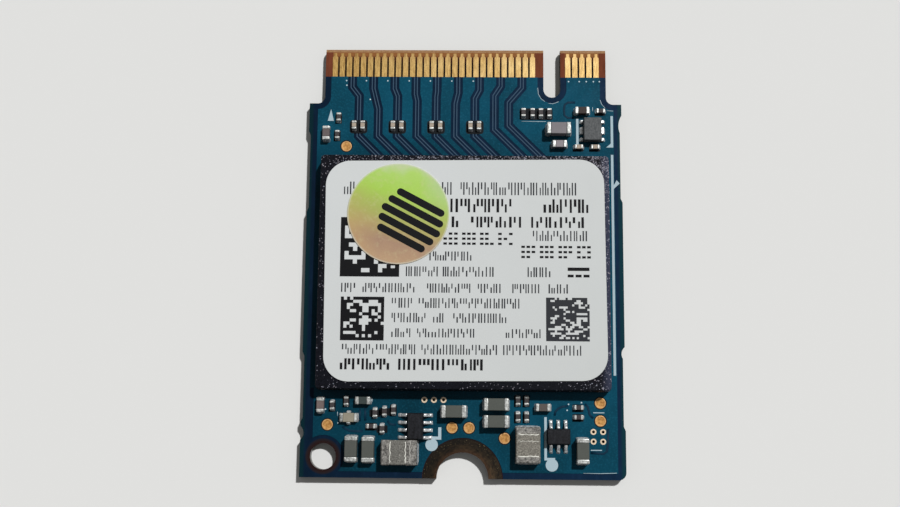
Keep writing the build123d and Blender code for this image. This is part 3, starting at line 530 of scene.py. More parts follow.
def seal_finish():
    """Shifting foil: green at the front, tan at the left and pink towards the rear, with a pale rim."""
    mat = Finish("shifting_foil", metallic=0.1, specular=0.2, coat=0.05)
    span = SEAL_HIGH - SEAL_LOW
    x, y, _ = mat.axes()
    across = mat.line(x, 1 / span.x, -SEAL_LOW.x / span.x)
    up = mat.line(y, 1 / span.y, -SEAL_LOW.y / span.y)
    wander = mat.line(mat.noise(1.6, detail=2), 0.22, -0.11)
    rise = mat.plus(mat.line(across, 0.22, -0.08), mat.plus(up, wander))
    foil = mat.ramp(rise, *[(at, srgb(*colour)) for at, colour in SEAL_COLOURS])
    left = mat.times(mat.steps(across, (0.04, 0.85), (0.3, 0)), mat.steps(up, (0.3, 0.6), (0.85, 0.1)))
    foil = mat.mix(left, foil, srgb(198, 164, 112))
    right = mat.times(mat.steps(across, (0.7, 0), (1, 0.75)), mat.steps(up, (0.45, 0), (0.85, 1)))
    foil = mat.mix(right, foil, srgb(182, 190, 176))
    foil = mat.blend(mat.noise(0.35), 0.52, 0.8, foil, srgb(204, 200, 150), 0.35)
    radius = mat.distance(mat.minus(across, 0.5), mat.minus(up, 0.5))
    mat.colour(mat.blend(radius, 0.482, 0.492, foil, srgb(206, 206, 190), 0.55))
    ripple = mat.streaks(0.08, (1, 0.4, 1))
    mat.uneven(ripple, 0.3, 0.46)
    return mat.bumped(ripple, 0.002, 0.5)


def substrate_finish():
    """Thin dark laminate under the mould, seen only at its edge."""
    mat = Finish("package_laminate", specular=0.15)
    plies = mat.streaks(0.04, (0.2, 0.2, 2), detail=2)
    mat.colour(mat.mix(plies, srgb(8, 12, 12), srgb(24, 32, 24)))
    return mat.bumped(plies, 0.004, 0.6)


def silicon_finish():
    """Polished silicon of the hidden dies."""
    mat = Finish("polished_silicon", metallic=0.5, coat=0.2)
    mat.roughness(0.16)
    mat.colour(mat.mix(mat.noise(1.5), srgb(96, 100, 116), srgb(140, 144, 158)))
    return mat.bumped(mat.noise(0.2), 0.0005, 0.3)


FINISHES = {
    "laminate": board_finish(),
    "gold": gold_finish(),
    "bronze": bronze_finish(),
    # Via plating: the near-black tone below the raised rings is painted shade in the via holes
    "copper": copper_finish("via_plating", (44, 18, 12), (226, 204, 176)),
    "tin": tin_finish("tinned_ends", (132, 134, 131), (212, 214, 210), 0.005, 0.34),
    "solder": tin_finish("reflowed_solder", (150, 152, 152), (232, 234, 234), 0.006, 0.26),
    "ceramic_olive": ceramic_finish("olive_ceramic", (69, 72, 68), (90, 93, 87)),
    "ceramic_grey": ceramic_finish("grey_ceramic", (44, 40, 42), (74, 68, 68)),
    "ceramic_dark": ceramic_finish("dark_ferrite", (30, 22, 20), (58, 44, 38)),
    "ceramic_pale": ceramic_finish("pale_ceramic", (112, 108, 94), (168, 160, 142)),
    "inductor_core": powder_finish(),
    "mould": sparkling_mould_finish(),
    "chip_mould": mould_finish("small_chip_moulding", (2, 2, 4), (42, 43, 48), 0.4),
    "chip_grey": mould_finish("grey_chip_moulding", (58, 61, 63), (108, 110, 111), 0.2),
    "substrate": substrate_finish(),
    "silicon": silicon_finish(),
    "label": paper_finish(),
    "ink": flat_finish("black_print", (8, 8, 11), (22, 23, 27)),
    "seal": seal_finish(),
    "legend": flat_finish("legend_ink", (172, 192, 200), (142, 164, 178)),
}
PAD_FINISH = copper_finish("bare_copper", (160, 108, 54), (236, 196, 152))
BAND_FINISH = band_finish()
FINE_INK = flat_finish("fine_print", (44, 46, 50), (66, 68, 72))
# Dark film for the openings in the mask and the painted shade and shadows round parts and pads
WINDOW_AND_SHADE_FINISH = flat_finish("mask_window_shade", (7, 11, 16), (10, 18, 26))
GLINT_FINISH = flat_finish("mask_edge_sheen", (190, 208, 214), (112, 142, 156))
GROOVE_FINISH = flat_finish("mask_groove_shade", (4, 40, 60), (6, 50, 72))
SEAM_HIGHLIGHT_FINISH = flat_finish("band_seam_highlight", (232, 231, 222), (186, 184, 176))
MIDDLE_TONES = [
    ((84, 76, 76), (112, 102, 100)),
    ((92, 80, 78), (124, 110, 106)),
    ((42, 50, 50), (66, 76, 73)),
    ((72, 66, 62), (100, 92, 87)),
    ((116, 110, 114), (156, 150, 153)),
]
MIDDLE_BODIES = [ceramic_finish(f"middle_ceramic_{n}", *tones) for n, tones in enumerate(MIDDLE_TONES)]
PALE_BODIES = ceramic_finish("cream_ceramic", (112, 102, 92), (204, 188, 168))
FRONT_BODY = ceramic_finish("rosy_ceramic", (108, 104, 107), (136, 131, 134))

# Every CAD node first takes the finish of its slot in the record
CAD_SLOTS = {subpart["node"]: subpart["material_slot"] for subpart in frame["record"]["subparts"]}
for cad_name, cad_slot in CAD_SLOTS.items():
    cad_mesh = NODES[cad_name].data
    cad_mesh.materials.clear()
    cad_mesh.materials.append(FINISHES[cad_slot])

# Steps to a metre of the grid on which equal corners are found
GRID = 1e8


def islands(node):
    """Boxes of the separate solids in a CAD node, each as its lowest and highest corner."""
    mesh = NODES[node].data
    places = [tuple(round(c * GRID) for c in vertex.co) for vertex in mesh.vertices]
    root = {place: place for place in places}

    def find(place):
        while root[place] != place:
            root[place] = root[root[place]]
            place = root[place]
        return place

    for polygon in mesh.polygons:
        first = find(places[polygon.vertices[0]])
        for index in polygon.vertices[1:]:
            root[find(places[index])] = first
    groups = {}
    for place in root:
        groups.setdefault(find(place), []).append([c / GRID for c in place])
    boxes = []
    for points in groups.values():
        boxes.append((Vector([*map(min, *points)]), Vector([*map(max, *points)])))
    return sorted(boxes, key=lambda box: (round(box[0].x, 6), round(box[0].y, 6)))


def centre(box):
    """Middle of a box, given as its lowest and highest corner."""
    return (box[0] + box[1]) / 2


def put(name, data):
    """A new object in the scene."""
    made = bpy.data.objects.new(name, data)
    bpy.context.scene.collection.objects.link(made)
    return made


def piece(name, mesh, slot, *replaced, finish=None):
    """Turn a bmesh into a piece of the object, finished as its slot says or with a finish of its own."""
    data = bpy.data.meshes.new(name)
    bmesh.ops.recalc_face_normals(mesh, faces=mesh.faces)
    mesh.to_mesh(data)
    mesh.free()
    made = put(name, data)
    data.materials.append(finish or FINISHES[slot])
    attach(made, "root")
    if replaced:
        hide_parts(*replaced)


def add_loft(mesh, rings, smooth=True, hoop=False):
    """Skin over a row of closed rings, with both ends closed, or with the last joined to the first."""
    rows = [[mesh.verts.new(point) for point in ring] for ring in rings]
    for one, other in zip(rows, rows[1:] + rows[:1] if hoop else rows[1:]):
        for index in range(len(one)):
            face = mesh.faces.new((one[index - 1], one[index], other[index], other[index - 1]))
            face.smooth = smooth
    if not hoop:
        mesh.faces.new(rows[0])
        mesh.faces.new(rows[-1])


def circle(x, y, z, radius, count):
    """Ring of points around an upright axis."""
    turns = [2 * math.pi * index / count for index in range(count)]
    return [Vector((x + radius * math.cos(turn), y + radius * math.sin(turn), z)) for turn in turns]


CORNER_STEPS = 3
LEAST_RADIUS = 0.005 * MM


def rounded(low, high, z, inset, corner):
    """Ring of points round a rectangle with rounded corners, drawn in by the inset."""
    radius = max(corner - inset, LEAST_RADIUS)
    drawn = inset + radius
    middles = [
        (high.x - drawn, high.y - drawn),
        (low.x + drawn, high.y - drawn),
        (low.x + drawn, low.y + drawn),
        (high.x - drawn, low.y + drawn),
    ]
    points = []
    for quarter, (x, y) in enumerate(middles):
        for step in range(CORNER_STEPS + 1):
            turn = (quarter + step / CORNER_STEPS) * math.pi / 2
            points.append(Vector((x + radius * math.cos(turn), y + radius * math.sin(turn), z)))
    return points


# Walls of a slab: shares of its height, and insets there in millimetres
STRAIGHT = [(0, 0), (1, 0)]
CHIP_WALLS = [(0, 0.05), (0.12, 0.02), (0.45, 0), (0.55, 0), (0.92, 0.045), (1, 0.08)]
MOULD_WALLS = [(0, 0), (0.5, 0.04), (0.95, 0.08), (1, 0.11)]
FLAT_WALLS = [(0, 0.02), (0.05, 0), (0.93, 0), (0.97, 0.012), (1, 0.04)]
BAND_WALLS = [(0, 0.05), (0.06, 0), (0.88, 0), (0.95, 0.02), (1, 0.075)]
CORE_WALLS = [(0, 0.03), (0.05, 0.015), (0.9, 0.015), (0.955, 0.035), (0.985, 0.09)]


def add_slab(mesh, low, high, corner, walls, smooth=False):
    """A slab between two corners."""
    rise = high.z - low.z
    rings = [rounded(low, high, low.z + share * rise, inset * MM, corner) for share, inset in walls]
    add_loft(mesh, rings, smooth)


def slab_piece(name, node, slot, corner, walls):
    """A slab in the place of one CAD node, as a piece."""
    mesh = bmesh.new()
    add_slab(mesh, *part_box(node), corner, walls)
    piece(name, mesh, slot, node)


def add_block(mesh, low, high, edge, segments, rng=None, wobble=0):
    """A block with rounded edges between two corners, its vertices a little uneven if draws are given."""
    middle = (low + high) / 2
    size = high - low
    matrix = Matrix.Translation(middle) @ Matrix.Diagonal((*size, 1))
    made = bmesh.ops.create_cube(mesh, size=1, matrix=matrix)
    edges = list({e for v in made["verts"] for e in v.link_edges})
    edge = min(edge, 0.45 * min(size))
    done = bmesh.ops.bevel(mesh, geom=edges, offset=edge, segments=segments, profile=0.5, affect="EDGES")
    vertices = {v for face in done["faces"] for v in face.verts}
    for face in done["faces"]:
        face.smooth = True
    if rng:
        for vertex in sorted(vertices, key=lambda v: v.index):
            for axis in range(3):
                away = math.copysign(1, vertex.co[axis] - middle[axis])
                vertex.co[axis] += rng.uniform(-wobble, 0) * away


def outward(box, boxes):
    """Unit direction in which a terminal's box lies from the nearest of the bodies' boxes."""
    nearest = min(boxes, key=lambda other: (centre(other) - centre(box)).length)
    away = centre(box) - centre(nearest)
    if abs(away.x) > abs(away.y):
        return Vector((math.copysign(1, away.x), 0, 0))
    return Vector((0, math.copysign(1, away.y), 0))


def facing(box, way):
    """Middle of a box's outer face at its foot, its half width across, its depth and its height."""
    size = box[1] - box[0]
    depth, across = (size.x, size.y) if abs(way.x) > 0.5 else (size.y, size.x)
    middle = centre(box)
    face = Vector((middle.x, middle.y, box[0].z)) + way * depth / 2
    return face, across / 2, depth, size.z


# Solder that climbs a terminal's outer face in a hollow curve
FILLET_ACROSS = [(-1, 0.45, 0.3), (-0.72, 0.9, 0.8), (0, 1, 1), (0.72, 0.9, 0.8), (1, 0.45, 0.3)]
FILLET_OUT = [(1, 0.04), (0.62, 0.16), (0.32, 0.4), (0.1, 0.78), (0, 1)]
FILLET_HEEL = 0.8
FILLET_CREST = 0.25


def add_fillet(mesh, box, way, reach, climb):
    """Solder fillet in front of a terminal, and the film of solder under it."""
    face, half, depth, height = facing(box, way)
    side = Vector((-way.y, way.x, 0))
    upward = Vector((0, 0, 1))
    lift = box[0].z - Z_TOP
    rise = lift + climb * height
    rings = []
    for across, far, tall in FILLET_ACROSS:
        start = face + side * across * half
        start.z = Z_TOP
        heel = start - way * FILLET_HEEL * depth
        ring = [heel, start + way * reach * far]
        ring += [start + way * reach * far * out + upward * rise * tall * up for out, up in FILLET_OUT]
        ring.append(start - way * FILLET_CREST * depth + upward * max(rise * tall, lift))
        ring.append(heel + upward * lift)
        rings.append(ring)
    add_loft(mesh, rings)


# Chip parts: bodies a little narrower than their rounded, uneven end caps
FILLET_REACH = 0.095 * MM
BODY_INSET = 0.018 * MM
CAP_ROUNDING = 0.055 * MM
BODY_ROUNDING = 0.025 * MM
CAP_WOBBLE = 0.01 * MM
NEAR_ENOUGH = 2 * MM
PALE_X = 7.5 * MM
PALE_REAR = 7 * MM
PALE_FRONT = 9.5 * MM
TERMINAL_ROUNDING = 0.05 * MM
# Families of chips: name, ending of the name of their bodies, and scale of these roundings
chip_families = [
    ("coupling_capacitor", "bodies", 0.7),
    ("small_chip", "bodies", 0.7),
    ("middle_capacitor", "bodies", 0.9),
    ("chip_bead", "bodies", 0.9),
]
chip_families += [(f"large_capacitor_{n}", "body", 1.2) for n in range(1, 8)]


def body_finish(node, count, middle):
    """Ceramic of one chip body, by its family and its place on the board."""
    if node == "middle_capacitor_bodies":
        return MIDDLE_BODIES[count]
    pale_place = middle.x > PALE_X and PALE_REAR < middle.y < PALE_FRONT
    if node == "coupling_capacitor_bodies" or pale_place:
        return PALE_BODIES
    if node.startswith("large") and middle.y > 0:
        return FRONT_BODY
    return FINISHES[CAD_SLOTS[node]]


# Each terminal's box, its way outward, and the reach and climb of its solder
terminals = []
small_chips = []
for number, (family, ending, scale) in enumerate(chip_families):
    body_node = f"{family}_{ending}"
    ends_node = f"{family}_ends"
    rng = random.Random(100 + number)
    bodies = islands(body_node)
    ends = islands(ends_node)
    meshes = {}
    for count, body in enumerate(bodies):
        middle = centre(body)
        finish = body_finish(body_node, count, middle)
        if finish not in meshes:
            meshes[finish] = bmesh.new()
        ways = [outward(end, bodies) for end in ends if (centre(end) - middle).length < NEAR_ENOUGH]
        along_x = abs(ways[0].x) > 0.5
        inset = Vector((0 if along_x else BODY_INSET, BODY_INSET if along_x else 0, 0)) * scale
        top_drop = Vector((0, 0, BODY_INSET)) * scale
        add_block(meshes[finish], body[0] + inset, body[1] - inset - top_drop, BODY_ROUNDING * scale, 2)
        if body_node == "small_chip_bodies":
            small_chips.append((middle.xy, along_x))
    for count, (finish, mesh) in enumerate(meshes.items()):
        replaced = [] if count else [body_node]
        piece(f"{family}_ceramic_{count}", mesh, CAD_SLOTS[body_node], *replaced, finish=finish)
    mesh = bmesh.new()
    for end in ends:
        add_block(mesh, *end, CAP_ROUNDING * scale, 3, rng, CAP_WOBBLE * scale)
        terminals.append((end, outward(end, bodies), FILLET_REACH, 0.5 / scale))
    piece(f"{family}_caps", mesh, CAD_SLOTS[ends_node], ends_node)

# Power inductors: a pressed core, two wide metal bands over its ends and jagged seams at their borders,
# coloured near white as a painted highlight
SEAM_POINTS = 13
SEAM_HALF = 0.042 * MM
FAINT_HALF = 0.02 * MM
SEAM_JITTER = 0.035 * MM
SEAM_INSET = 0.12 * MM
SEAM_DEPTH = 0.03 * MM
SEAM_RISE = 0.006 * MM
CORE_SETBACK = 0.2 * MM
# Reaches of the bands from both ends, and of the faint seam from the far end, in millimetres
inductor_reaches = {"inductor_left": (0.60, 0.76, 0.45), "inductor_right": (0.46, 0.50, 0.95)}


def add_seam(mesh, start, end, z, rng, half):
    """A jagged thin ridge between two points, standing a little over a height."""
    run = end - start
    side = Vector((-run.y, run.x, 0)).normalized()
    rings = []
    for index in range(SEAM_POINTS):
        middle = start + run * index / (SEAM_POINTS - 1) + side * rng.uniform(-SEAM_JITTER, SEAM_JITTER)
        width = half * rng.uniform(0.6, 1.3)
        crest = 0.4 * width
        edges = ((-width, -SEAM_DEPTH), (width, -SEAM_DEPTH), (crest, SEAM_RISE), (-crest, SEAM_RISE))
        rings.append([Vector((*(middle + side * across).xy, z + up)) for across, up in edges])
    add_loft(mesh, rings)


seam_mesh = bmesh.new()
for number, (name, reaches) in enumerate(inductor_reaches.items()):
    rng = random.Random(300 + number)
    low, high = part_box(f"{name}_ends")
    size = high - low
    axis = Vector((1, 0, 0)) if size.x > size.y else Vector((0, 1, 0))
    across = Vector((1, 1, 0)) - axis
    near, far, faint = (axis * reach * MM for reach in reaches)
    mesh = bmesh.new()
    add_slab(mesh, low + axis * CORE_SETBACK, high - axis * CORE_SETBACK, 0.1 * MM, CORE_WALLS)
    piece(f"{name}_pressed_core", mesh, "inductor_core", f"{name}_core")
    length = axis * size.dot(axis)
    mesh = bmesh.new()
    for band, way in (((low, high - length + near), -axis), ((low + length - far, high), axis)):
        add_slab(mesh, *band, 0.08 * MM, BAND_WALLS, smooth=True)
        terminals.append((band, way, 0.1 * MM, 0.3))
    piece(f"{name}_bands", mesh, "tin", f"{name}_ends", finish=BAND_FINISH)
    inset = across * SEAM_INSET
    for border, half in ((near, SEAM_HALF), (length - far, SEAM_HALF), (length - faint, FAINT_HALF)):
        start = low + border
        end = start + across * size.dot(across)
        add_seam(seam_mesh, start + inset, end - inset, high.z, rng, half)
piece("inductor_seams", seam_mesh, "solder", finish=SEAM_HIGHLIGHT_FINISH)

# Gull-wing leads: outward share and height share of the bent strip's centre line, and its section
LEAD_PATH = [
    (0, 1), (0.14, 0.96), (0.3, 0.78), (0.46, 0.5),
    (0.62, 0.24), (0.76, 0.07), (0.86, 0), (1, 0),
]
LEAD_SECTION = [(-1, -0.5), (-0.7, -1), (0.7, -1), (1, -0.5), (1, 0.5), (0.7, 1), (-0.7, 1), (-1, 0.5)]
LEAD_HALF_WIDTH = 0.105 * MM
LEAD_HALF_THICKNESS = 0.055 * MM
FOOT_LENGTH = 0.2 * MM
FOOT_HALF_WIDTH = 1.2 * LEAD_HALF_WIDTH


def add_lead(mesh, box, way):
    """A bent lead in the box of its CAD solid, with rounded edges."""
    face, _, depth, height = facing(box, way)
    side = Vector((-way.y, way.x, 0))
    line = []
    for out, up in LEAD_PATH:
        z = LEAD_HALF_THICKNESS + up * (height - 2 * LEAD_HALF_THICKNESS)
        line.append(face - way * depth + way * out * depth + Vector((0, 0, z)))
    rings = []
    for index, middle in enumerate(line):
        run = line[min(index + 1, len(line) - 1)] - line[max(index - 1, 0)]
        half_up = side.cross(run).normalized() * LEAD_HALF_THICKNESS
        half_side = side * LEAD_HALF_WIDTH
        rings.append([middle + half_side * across + half_up * up for across, up in LEAD_SECTION])
    add_loft(mesh, rings)


for name, axis in (("regulator_chip", 0), ("load_switch_chip", 1)):
    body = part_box(f"{name}_body")
    slab_piece(f"{name}_moulding", f"{name}_body", "chip_mould", corner=0.06 * MM, walls=CHIP_WALLS)
    mesh = bmesh.new()
    for box in islands(f"{name}_leads"):
        way = Vector((0, 0, 0))
        way[axis] = math.copysign(1, (centre(box) - centre(body))[axis])
        add_lead(mesh, box, way)
        toe = facing(box, way)[0]
        heel = toe - way * FOOT_LENGTH
        side = Vector((abs(way.y), abs(way.x), 0)) * FOOT_HALF_WIDTH
        low = Vector([*map(min, heel, toe)]) - side
        high = Vector([*map(max, heel, toe)]) + side
        high.z += 2 * LEAD_HALF_THICKNESS
        terminals.append(((low, high), way, 0.08 * MM, 0.6))
    piece(f"{name}_bent_leads", mesh, "tin", f"{name}_leads", finish=FINISHES["solder"])

# Mould of the package, with drafted flanks and a slightly broken top edge
slab_piece("drafted_mould", "package_mould", "mould", corner=0.35 * MM, walls=MOULD_WALLS)

# Flat power chip and its contacts
slab_piece("power_chip_package", "power_chip_body", "chip_grey", corner=0.05 * MM, walls=FLAT_WALLS)
power_middle = centre(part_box("power_chip_body"))
mesh = bmesh.new()
rng = random.Random(410)
for box in islands("power_chip_contacts"):
    add_block(mesh, *box, TERMINAL_ROUNDING, 3, rng, wobble=0.02 * MM)
    way = Vector((math.copysign(1, centre(box).x - power_middle.x), 0, 0))
    terminals.append((box, way, 0.06 * MM, 0.7))
piece("power_chip_joints", mesh, "tin", "power_chip_contacts", finish=FINISHES["solder"])

# Three-terminal filter
slab_piece("filter_ceramic", "filter_body", "ceramic_pale", corner=0.03 * MM, walls=FLAT_WALLS)
mesh = bmesh.new()
rng = random.Random(420)
for box in islands("filter_terminals"):
    add_block(mesh, *box, TERMINAL_ROUNDING, 3, rng, wobble=0.012 * MM)
    terminals.append((box, outward(box, [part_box("filter_body")]), 0.08 * MM, 0.5))
piece("filter_caps", mesh, "tin", "filter_terminals")

# All solder fillets in one piece
mesh = bmesh.new()
for terminal in terminals:
    add_fillet(mesh, *terminal)
piece("solder_fillets", mesh, "solder", "solder_joints")

# Solder balls, wider at the middle than where they join
BALL_SIDES = 12
BALL_SHAPE = [(0, 0.78), (0.2, 0.93), (0.5, 1), (0.8, 0.93), (1, 0.78)]
mesh = bmesh.new()
for low, high in islands("solder_balls"):
    x, y, _ = (low + high) / 2
    radius = (high.x - low.x) / 2
    rise = high.z - low.z
    add_loft(mesh, [circle(x, y, low.z + up * rise, radius * wide, BALL_SIDES) for up, wide in BALL_SHAPE])
piece("reflowed_balls", mesh, "solder", "solder_balls")

# Thin films on the board, for the openings in its mask
FILM_LOW = Z_TOP - 0.001 * MM
FILM_HIGH = Z_TOP + 0.004 * MM
PAD_SIDES = 28
# Insets and drops of a pad's rings: an upright wall, a raised rim and a slightly sunken middle
PAD_RINGS = [(0, 0.006), (0.02, 0), (0.07, 0), (0.11, 0.007), (0.2, 0.009)]


def add_film(mesh, low, high, corner):
    """A film between two corners."""
    add_slab(mesh, Vector((*low, FILM_LOW)), Vector((*high, FILM_HIGH)), corner, STRAIGHT)


def add_film_ring(mesh, middle, outer, inner):
    """A film between two radii."""
    edges = ((outer, FILM_LOW), (outer, FILM_HIGH), (inner, FILM_HIGH), (inner, FILM_LOW))
    rings = [circle(middle.x, middle.y, z, radius, PAD_SIDES) for radius, z in edges]
    add_loft(mesh, rings, smooth=False, hoop=True)


# Bare copper pads, and a dark ring round each, painted shade where the mask steps down to the pad
pad_mesh = bmesh.new()
window_and_shade_mesh = bmesh.new()
for low, high in islands("test_pads"):
    middle = (low + high) / 2
    radius = (high.x - low.x) / 2
    rings = [circle(middle.x, middle.y, low.z, radius, PAD_SIDES)]
    for inset, drop in PAD_RINGS:
        rings.append(circle(middle.x, middle.y, high.z - drop * MM, radius - inset * MM, PAD_SIDES))
    add_loft(pad_mesh, rings)
    add_film_ring(window_and_shade_mesh, middle, radius + 0.055 * MM, radius - 0.004 * MM)
piece("copper_pads", pad_mesh, "copper", "test_pads", finish=PAD_FINISH)

# Dark films round the coupling pairs, the small chips and the row of four: partly openings in the mask and
# partly painted shadow, so they reach further to the rear and left, where shadows fall
# Reach of the dark films round the parts, larger to the rear and left, where the painted shadows fall
PAIR_REAR = Vector((0.62, 0.55)) * MM
PAIR_FRONT = Vector((0.62, 0.42)) * MM
CHIP_HALF = (0.3 * MM, 0.16 * MM)
CHIP_REAR = Vector((0.09, 0.126)) * MM
CHIP_FRONT = Vector((0.054, 0.054)) * MM
ROW_REAR = Vector((0.26, 0.48)) * MM
ROW_FRONT = Vector((0.24, 0.36)) * MM
ROW_Y = 10.33 * MM
ROW_END_X = 7 * MM
coupling = islands("coupling_capacitor_bodies")
for first, second in zip(coupling[::2], coupling[1::2]):
    middle = ((first[0] + second[1]) / 2).xy
    add_film(window_and_shade_mesh, middle - PAIR_REAR, middle + PAIR_FRONT, corner=0.2 * MM)
row_of_four = []
for middle, along_x in small_chips:
    if abs(middle.y - ROW_Y) < 0.1 * MM and middle.x < ROW_END_X:
        row_of_four.append(middle)
    else:
        half = Vector(CHIP_HALF if along_x else CHIP_HALF[::-1])
        add_film(window_and_shade_mesh, middle - half - CHIP_REAR, middle + half + CHIP_FRONT, corner=0.06 * MM)
row_of_four.sort(key=lambda middle: middle.x)
add_film(window_and_shade_mesh, row_of_four[0] - ROW_REAR, row_of_four[-1] + ROW_FRONT, corner=0.12 * MM)
piece("mask_openings_and_painted_shade", window_and_shade_mesh, "laminate", finish=WINDOW_AND_SHADE_FINISH)

# Dark grooves and pale glints where the mask steps over copper edges: points in millimetres
groove_lines = [
    [(-8.15, -11.6), (-7.95, -11.74), (-7.65, -11.88), (-7.2, -11.92), (-6.75, -11.9)],
    [(-6.97, -10.4), (-6.98, -10.8), (-6.98, -11.25)],
    [(-6.62, -10.35), (-6.62, -10.8), (-6.6, -11.2)],
    [(-5.1, -11.2), (-4.9, -11.42), (-4.5, -11.46)],
    [(6.2, -10.75), (6.25, -10.5), (6.42, -10.3), (6.7, -10.15), (7.1, -10.1)],
    [(8.25, -9.95), (8.42, -10.1), (8.5, -10.35), (8.58, -10.7), (8.8, -10.9)],
    [(7.75, 11.14), (7.25, 11.14), (7.02, 10.98), (6.96, 10.6), (7, 10.2), (7.2, 10.03), (7.65, 10.02)],
    [(8.6, -13.2), (9.1, -13.24), (9.5, -13.26), (9.7, -13.1), (9.78, -12.6), (9.8, -11.6)],
]
glint_lines = [
    [(8.1, -14.56), (9.2, -14.57), (10.35, -14.53)],
    [(3.98, 9.76), (5, 9.745), (5.7, 9.74)],
    [(5.12, 12.2), (5.16, 11.75), (5.34, 11.42), (5.62, 11.2)],
    [(5.86, 11.08), (6.15, 11.04), (6.42, 11.12), (6.58, 11.2)],
    [(9.5, 11.35), (9.62, 11.02), (9.86, 10.74)],
    [(9.98, 10.56), (10.42, 10.53)],
    [(-6.15, -9.68), (-6.15, -9.94)],
    [(-8.5, -10.62), (-8.5, -10.9)],
    [(8.98, 10.5), (8.98, 10.8)],
]
# Pale dots painted as highlights: on tented vias, in a row behind the fingers and single ones, and on a
# few solder bits near the small chips
specks = [(x, 12.67) for x in (-8.43, -7.02, -5.5, -3.98, -2.48, -0.96, 0.56, 7.3, 8.05, 8.55, 9.05, 9.47)]
specks += [(-8.4, 12.33), (-6.72, 11.3), (-9.33, -10.45), (-8.45, -11.37)]
specks += [(7.15, -9.98), (7.05, -10.38), (8.02, -9.86)]
SPECK_SHAPE = [(-0.001, 0.06), (0.004, 0.045)]
SPECK_SIDES = 10


def add_line(mesh, points, half, rise):
    """A thin raised line along points on the board."""
    line = [Vector((x * MM, y * MM, Z_TOP)) for x, y in points]
    rings = []
    for index, point in enumerate(line):
        run = line[min(index + 1, len(line) - 1)] - line[max(index - 1, 0)]
        side = Vector((-run.y, run.x, 0)).normalized() * half
        foot = Vector((point.x, point.y, FILM_LOW))
        crest = point + Vector((0, 0, rise))
        rings.append([foot - side, foot + side, crest + side * 0.5, crest - side * 0.5])
    add_loft(mesh, rings)


mesh = bmesh.new()
for line in groove_lines:
    add_line(mesh, line, half=0.095 * MM, rise=0.002 * MM)
piece("mask_grooves", mesh, "laminate", finish=GROOVE_FINISH)
mesh = bmesh.new()
for line in glint_lines:
    add_line(mesh, line, half=0.018 * MM, rise=0.004 * MM)
for x, y in specks:
    rings = [circle(x * MM, y * MM, Z_TOP + up * MM, wide * MM, SPECK_SIDES) for up, wide in SPECK_SHAPE]
    add_loft(mesh, rings)
piece("mask_glints", mesh, "laminate", finish=GLINT_FINISH)

# Label marks in the place of print: rows of upright ticks, small blocks and random chequers
PRINT_LOW, PRINT_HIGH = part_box("label_print")
PRINT_LEVELS = (PRINT_LOW.z - 0.004 * MM, PRINT_HIGH.z)
LABEL_SIZE = Vector((19.1, 15.15)) * MM
LABEL_CORNER = centre(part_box("label")).xy - LABEL_SIZE / 2
SEAL_CENTRE = ((SEAL_LOW + SEAL_HIGH) / 2).xy
SEAL_COVER = (SEAL_HIGH.x - SEAL_LOW.x) / 2 - 0.1 * MM
LEAST_MARK = 0.02 * MM


def add_mark(mesh, left, rear, right, front):
    """One printed rectangle on the label, left out where the seal covers it."""
    middle = Vector(((left + right) / 2, (rear + front) / 2))
    if (middle - SEAL_CENTRE).length < SEAL_COVER or right - left < LEAST_MARK:
        return
    corners = [(left, rear), (right, rear), (right, front), (left, front)]
    add_loft(mesh, [[Vector((x, y, z)) for x, y in corners] for z in PRINT_LEVELS], smooth=False)


def add_ticks(mesh, low, high, rng, stroke, pitch):
    """A row of upright ticks in a bar's place, with uneven steps and heights."""
    x = low.x
    rise = high.y - low.y
    while x < high.x - stroke:
        shape = rng.random()
        rear = low.y if shape < 0.75 else low.y + 0.45 * rise
        front = high.y if shape > 0.25 else low.y + 0.6 * rise
        add_mark(mesh, x, rear, x + stroke * rng.uniform(0.85, 1.2), front)
        x += pitch * rng.uniform(0.75, 1.3)


def add_block_of_nine(mesh, low, high, rng):
    """Three rows of three short dashes in a bar's place, some of them missing."""
    step = (high - low) / 3
    for column in range(3):
        for row in range(3):
            if rng.random() < 0.84:
                x = low.x + (column + 0.5) * step.x
                y = low.y + (row + 0.5) * step.y
                add_mark(mesh, x - DASH_HALF.x, y - DASH_HALF.y, x + DASH_HALF.x, y + DASH_HALF.y)


def add_chequers(mesh, corner, step, count, rng):
    """A square of random dark runs, with its rear row and left column full."""
    for row in range(count):
        y = corner.y + row * step.y
        column = 0
        while column < count:
            solid = row == 0 or column == 0 or rng.random() < 0.5
            start = column
            column += 1
            while solid and column < count and (row == 0 or rng.random() < 0.5):
                column += 1
            if solid:
                add_mark(mesh, corner.x + start * step.x, y, corner.x + column * step.x, y + step.y)


# Rows of bold print, as shares of the label's length, and the sizes that tell the kinds of bar apart
BOLD_ROWS = [(0, 0.10), (0.685, 0.83)]
DASH_HALF = Vector((0.12, 0.075)) * MM
THIN_BAR = 0.3 * MM
CODE_CELL = 0.65 * MM
TALL_BAR = 0.98 * MM
SHORT_BAR = 1.3 * MM
bold_mesh = bmesh.new()
fine_mesh = bmesh.new()
rng = random.Random(510)
for low, high in islands("label_print"):
    wide = high.x - low.x
    tall = high.y - low.y
    share = ((low.y + high.y) / 2 - LABEL_CORNER.y) / LABEL_SIZE.y
    if wide < CODE_CELL and THIN_BAR < tall < CODE_CELL:
        continue
    if tall < THIN_BAR:
        add_mark(bold_mesh, low.x, low.y, high.x, high.y)
    elif tall > TALL_BAR and wide < SHORT_BAR:
        add_block_of_nine(bold_mesh, low, high, rng)
    elif any(start < share < end for start, end in BOLD_ROWS):
        add_ticks(bold_mesh, low, high, rng, stroke=0.15 * MM, pitch=0.29 * MM)
    else:
        add_ticks(fine_mesh, low, high, rng, stroke=0.08 * MM, pitch=0.2 * MM)

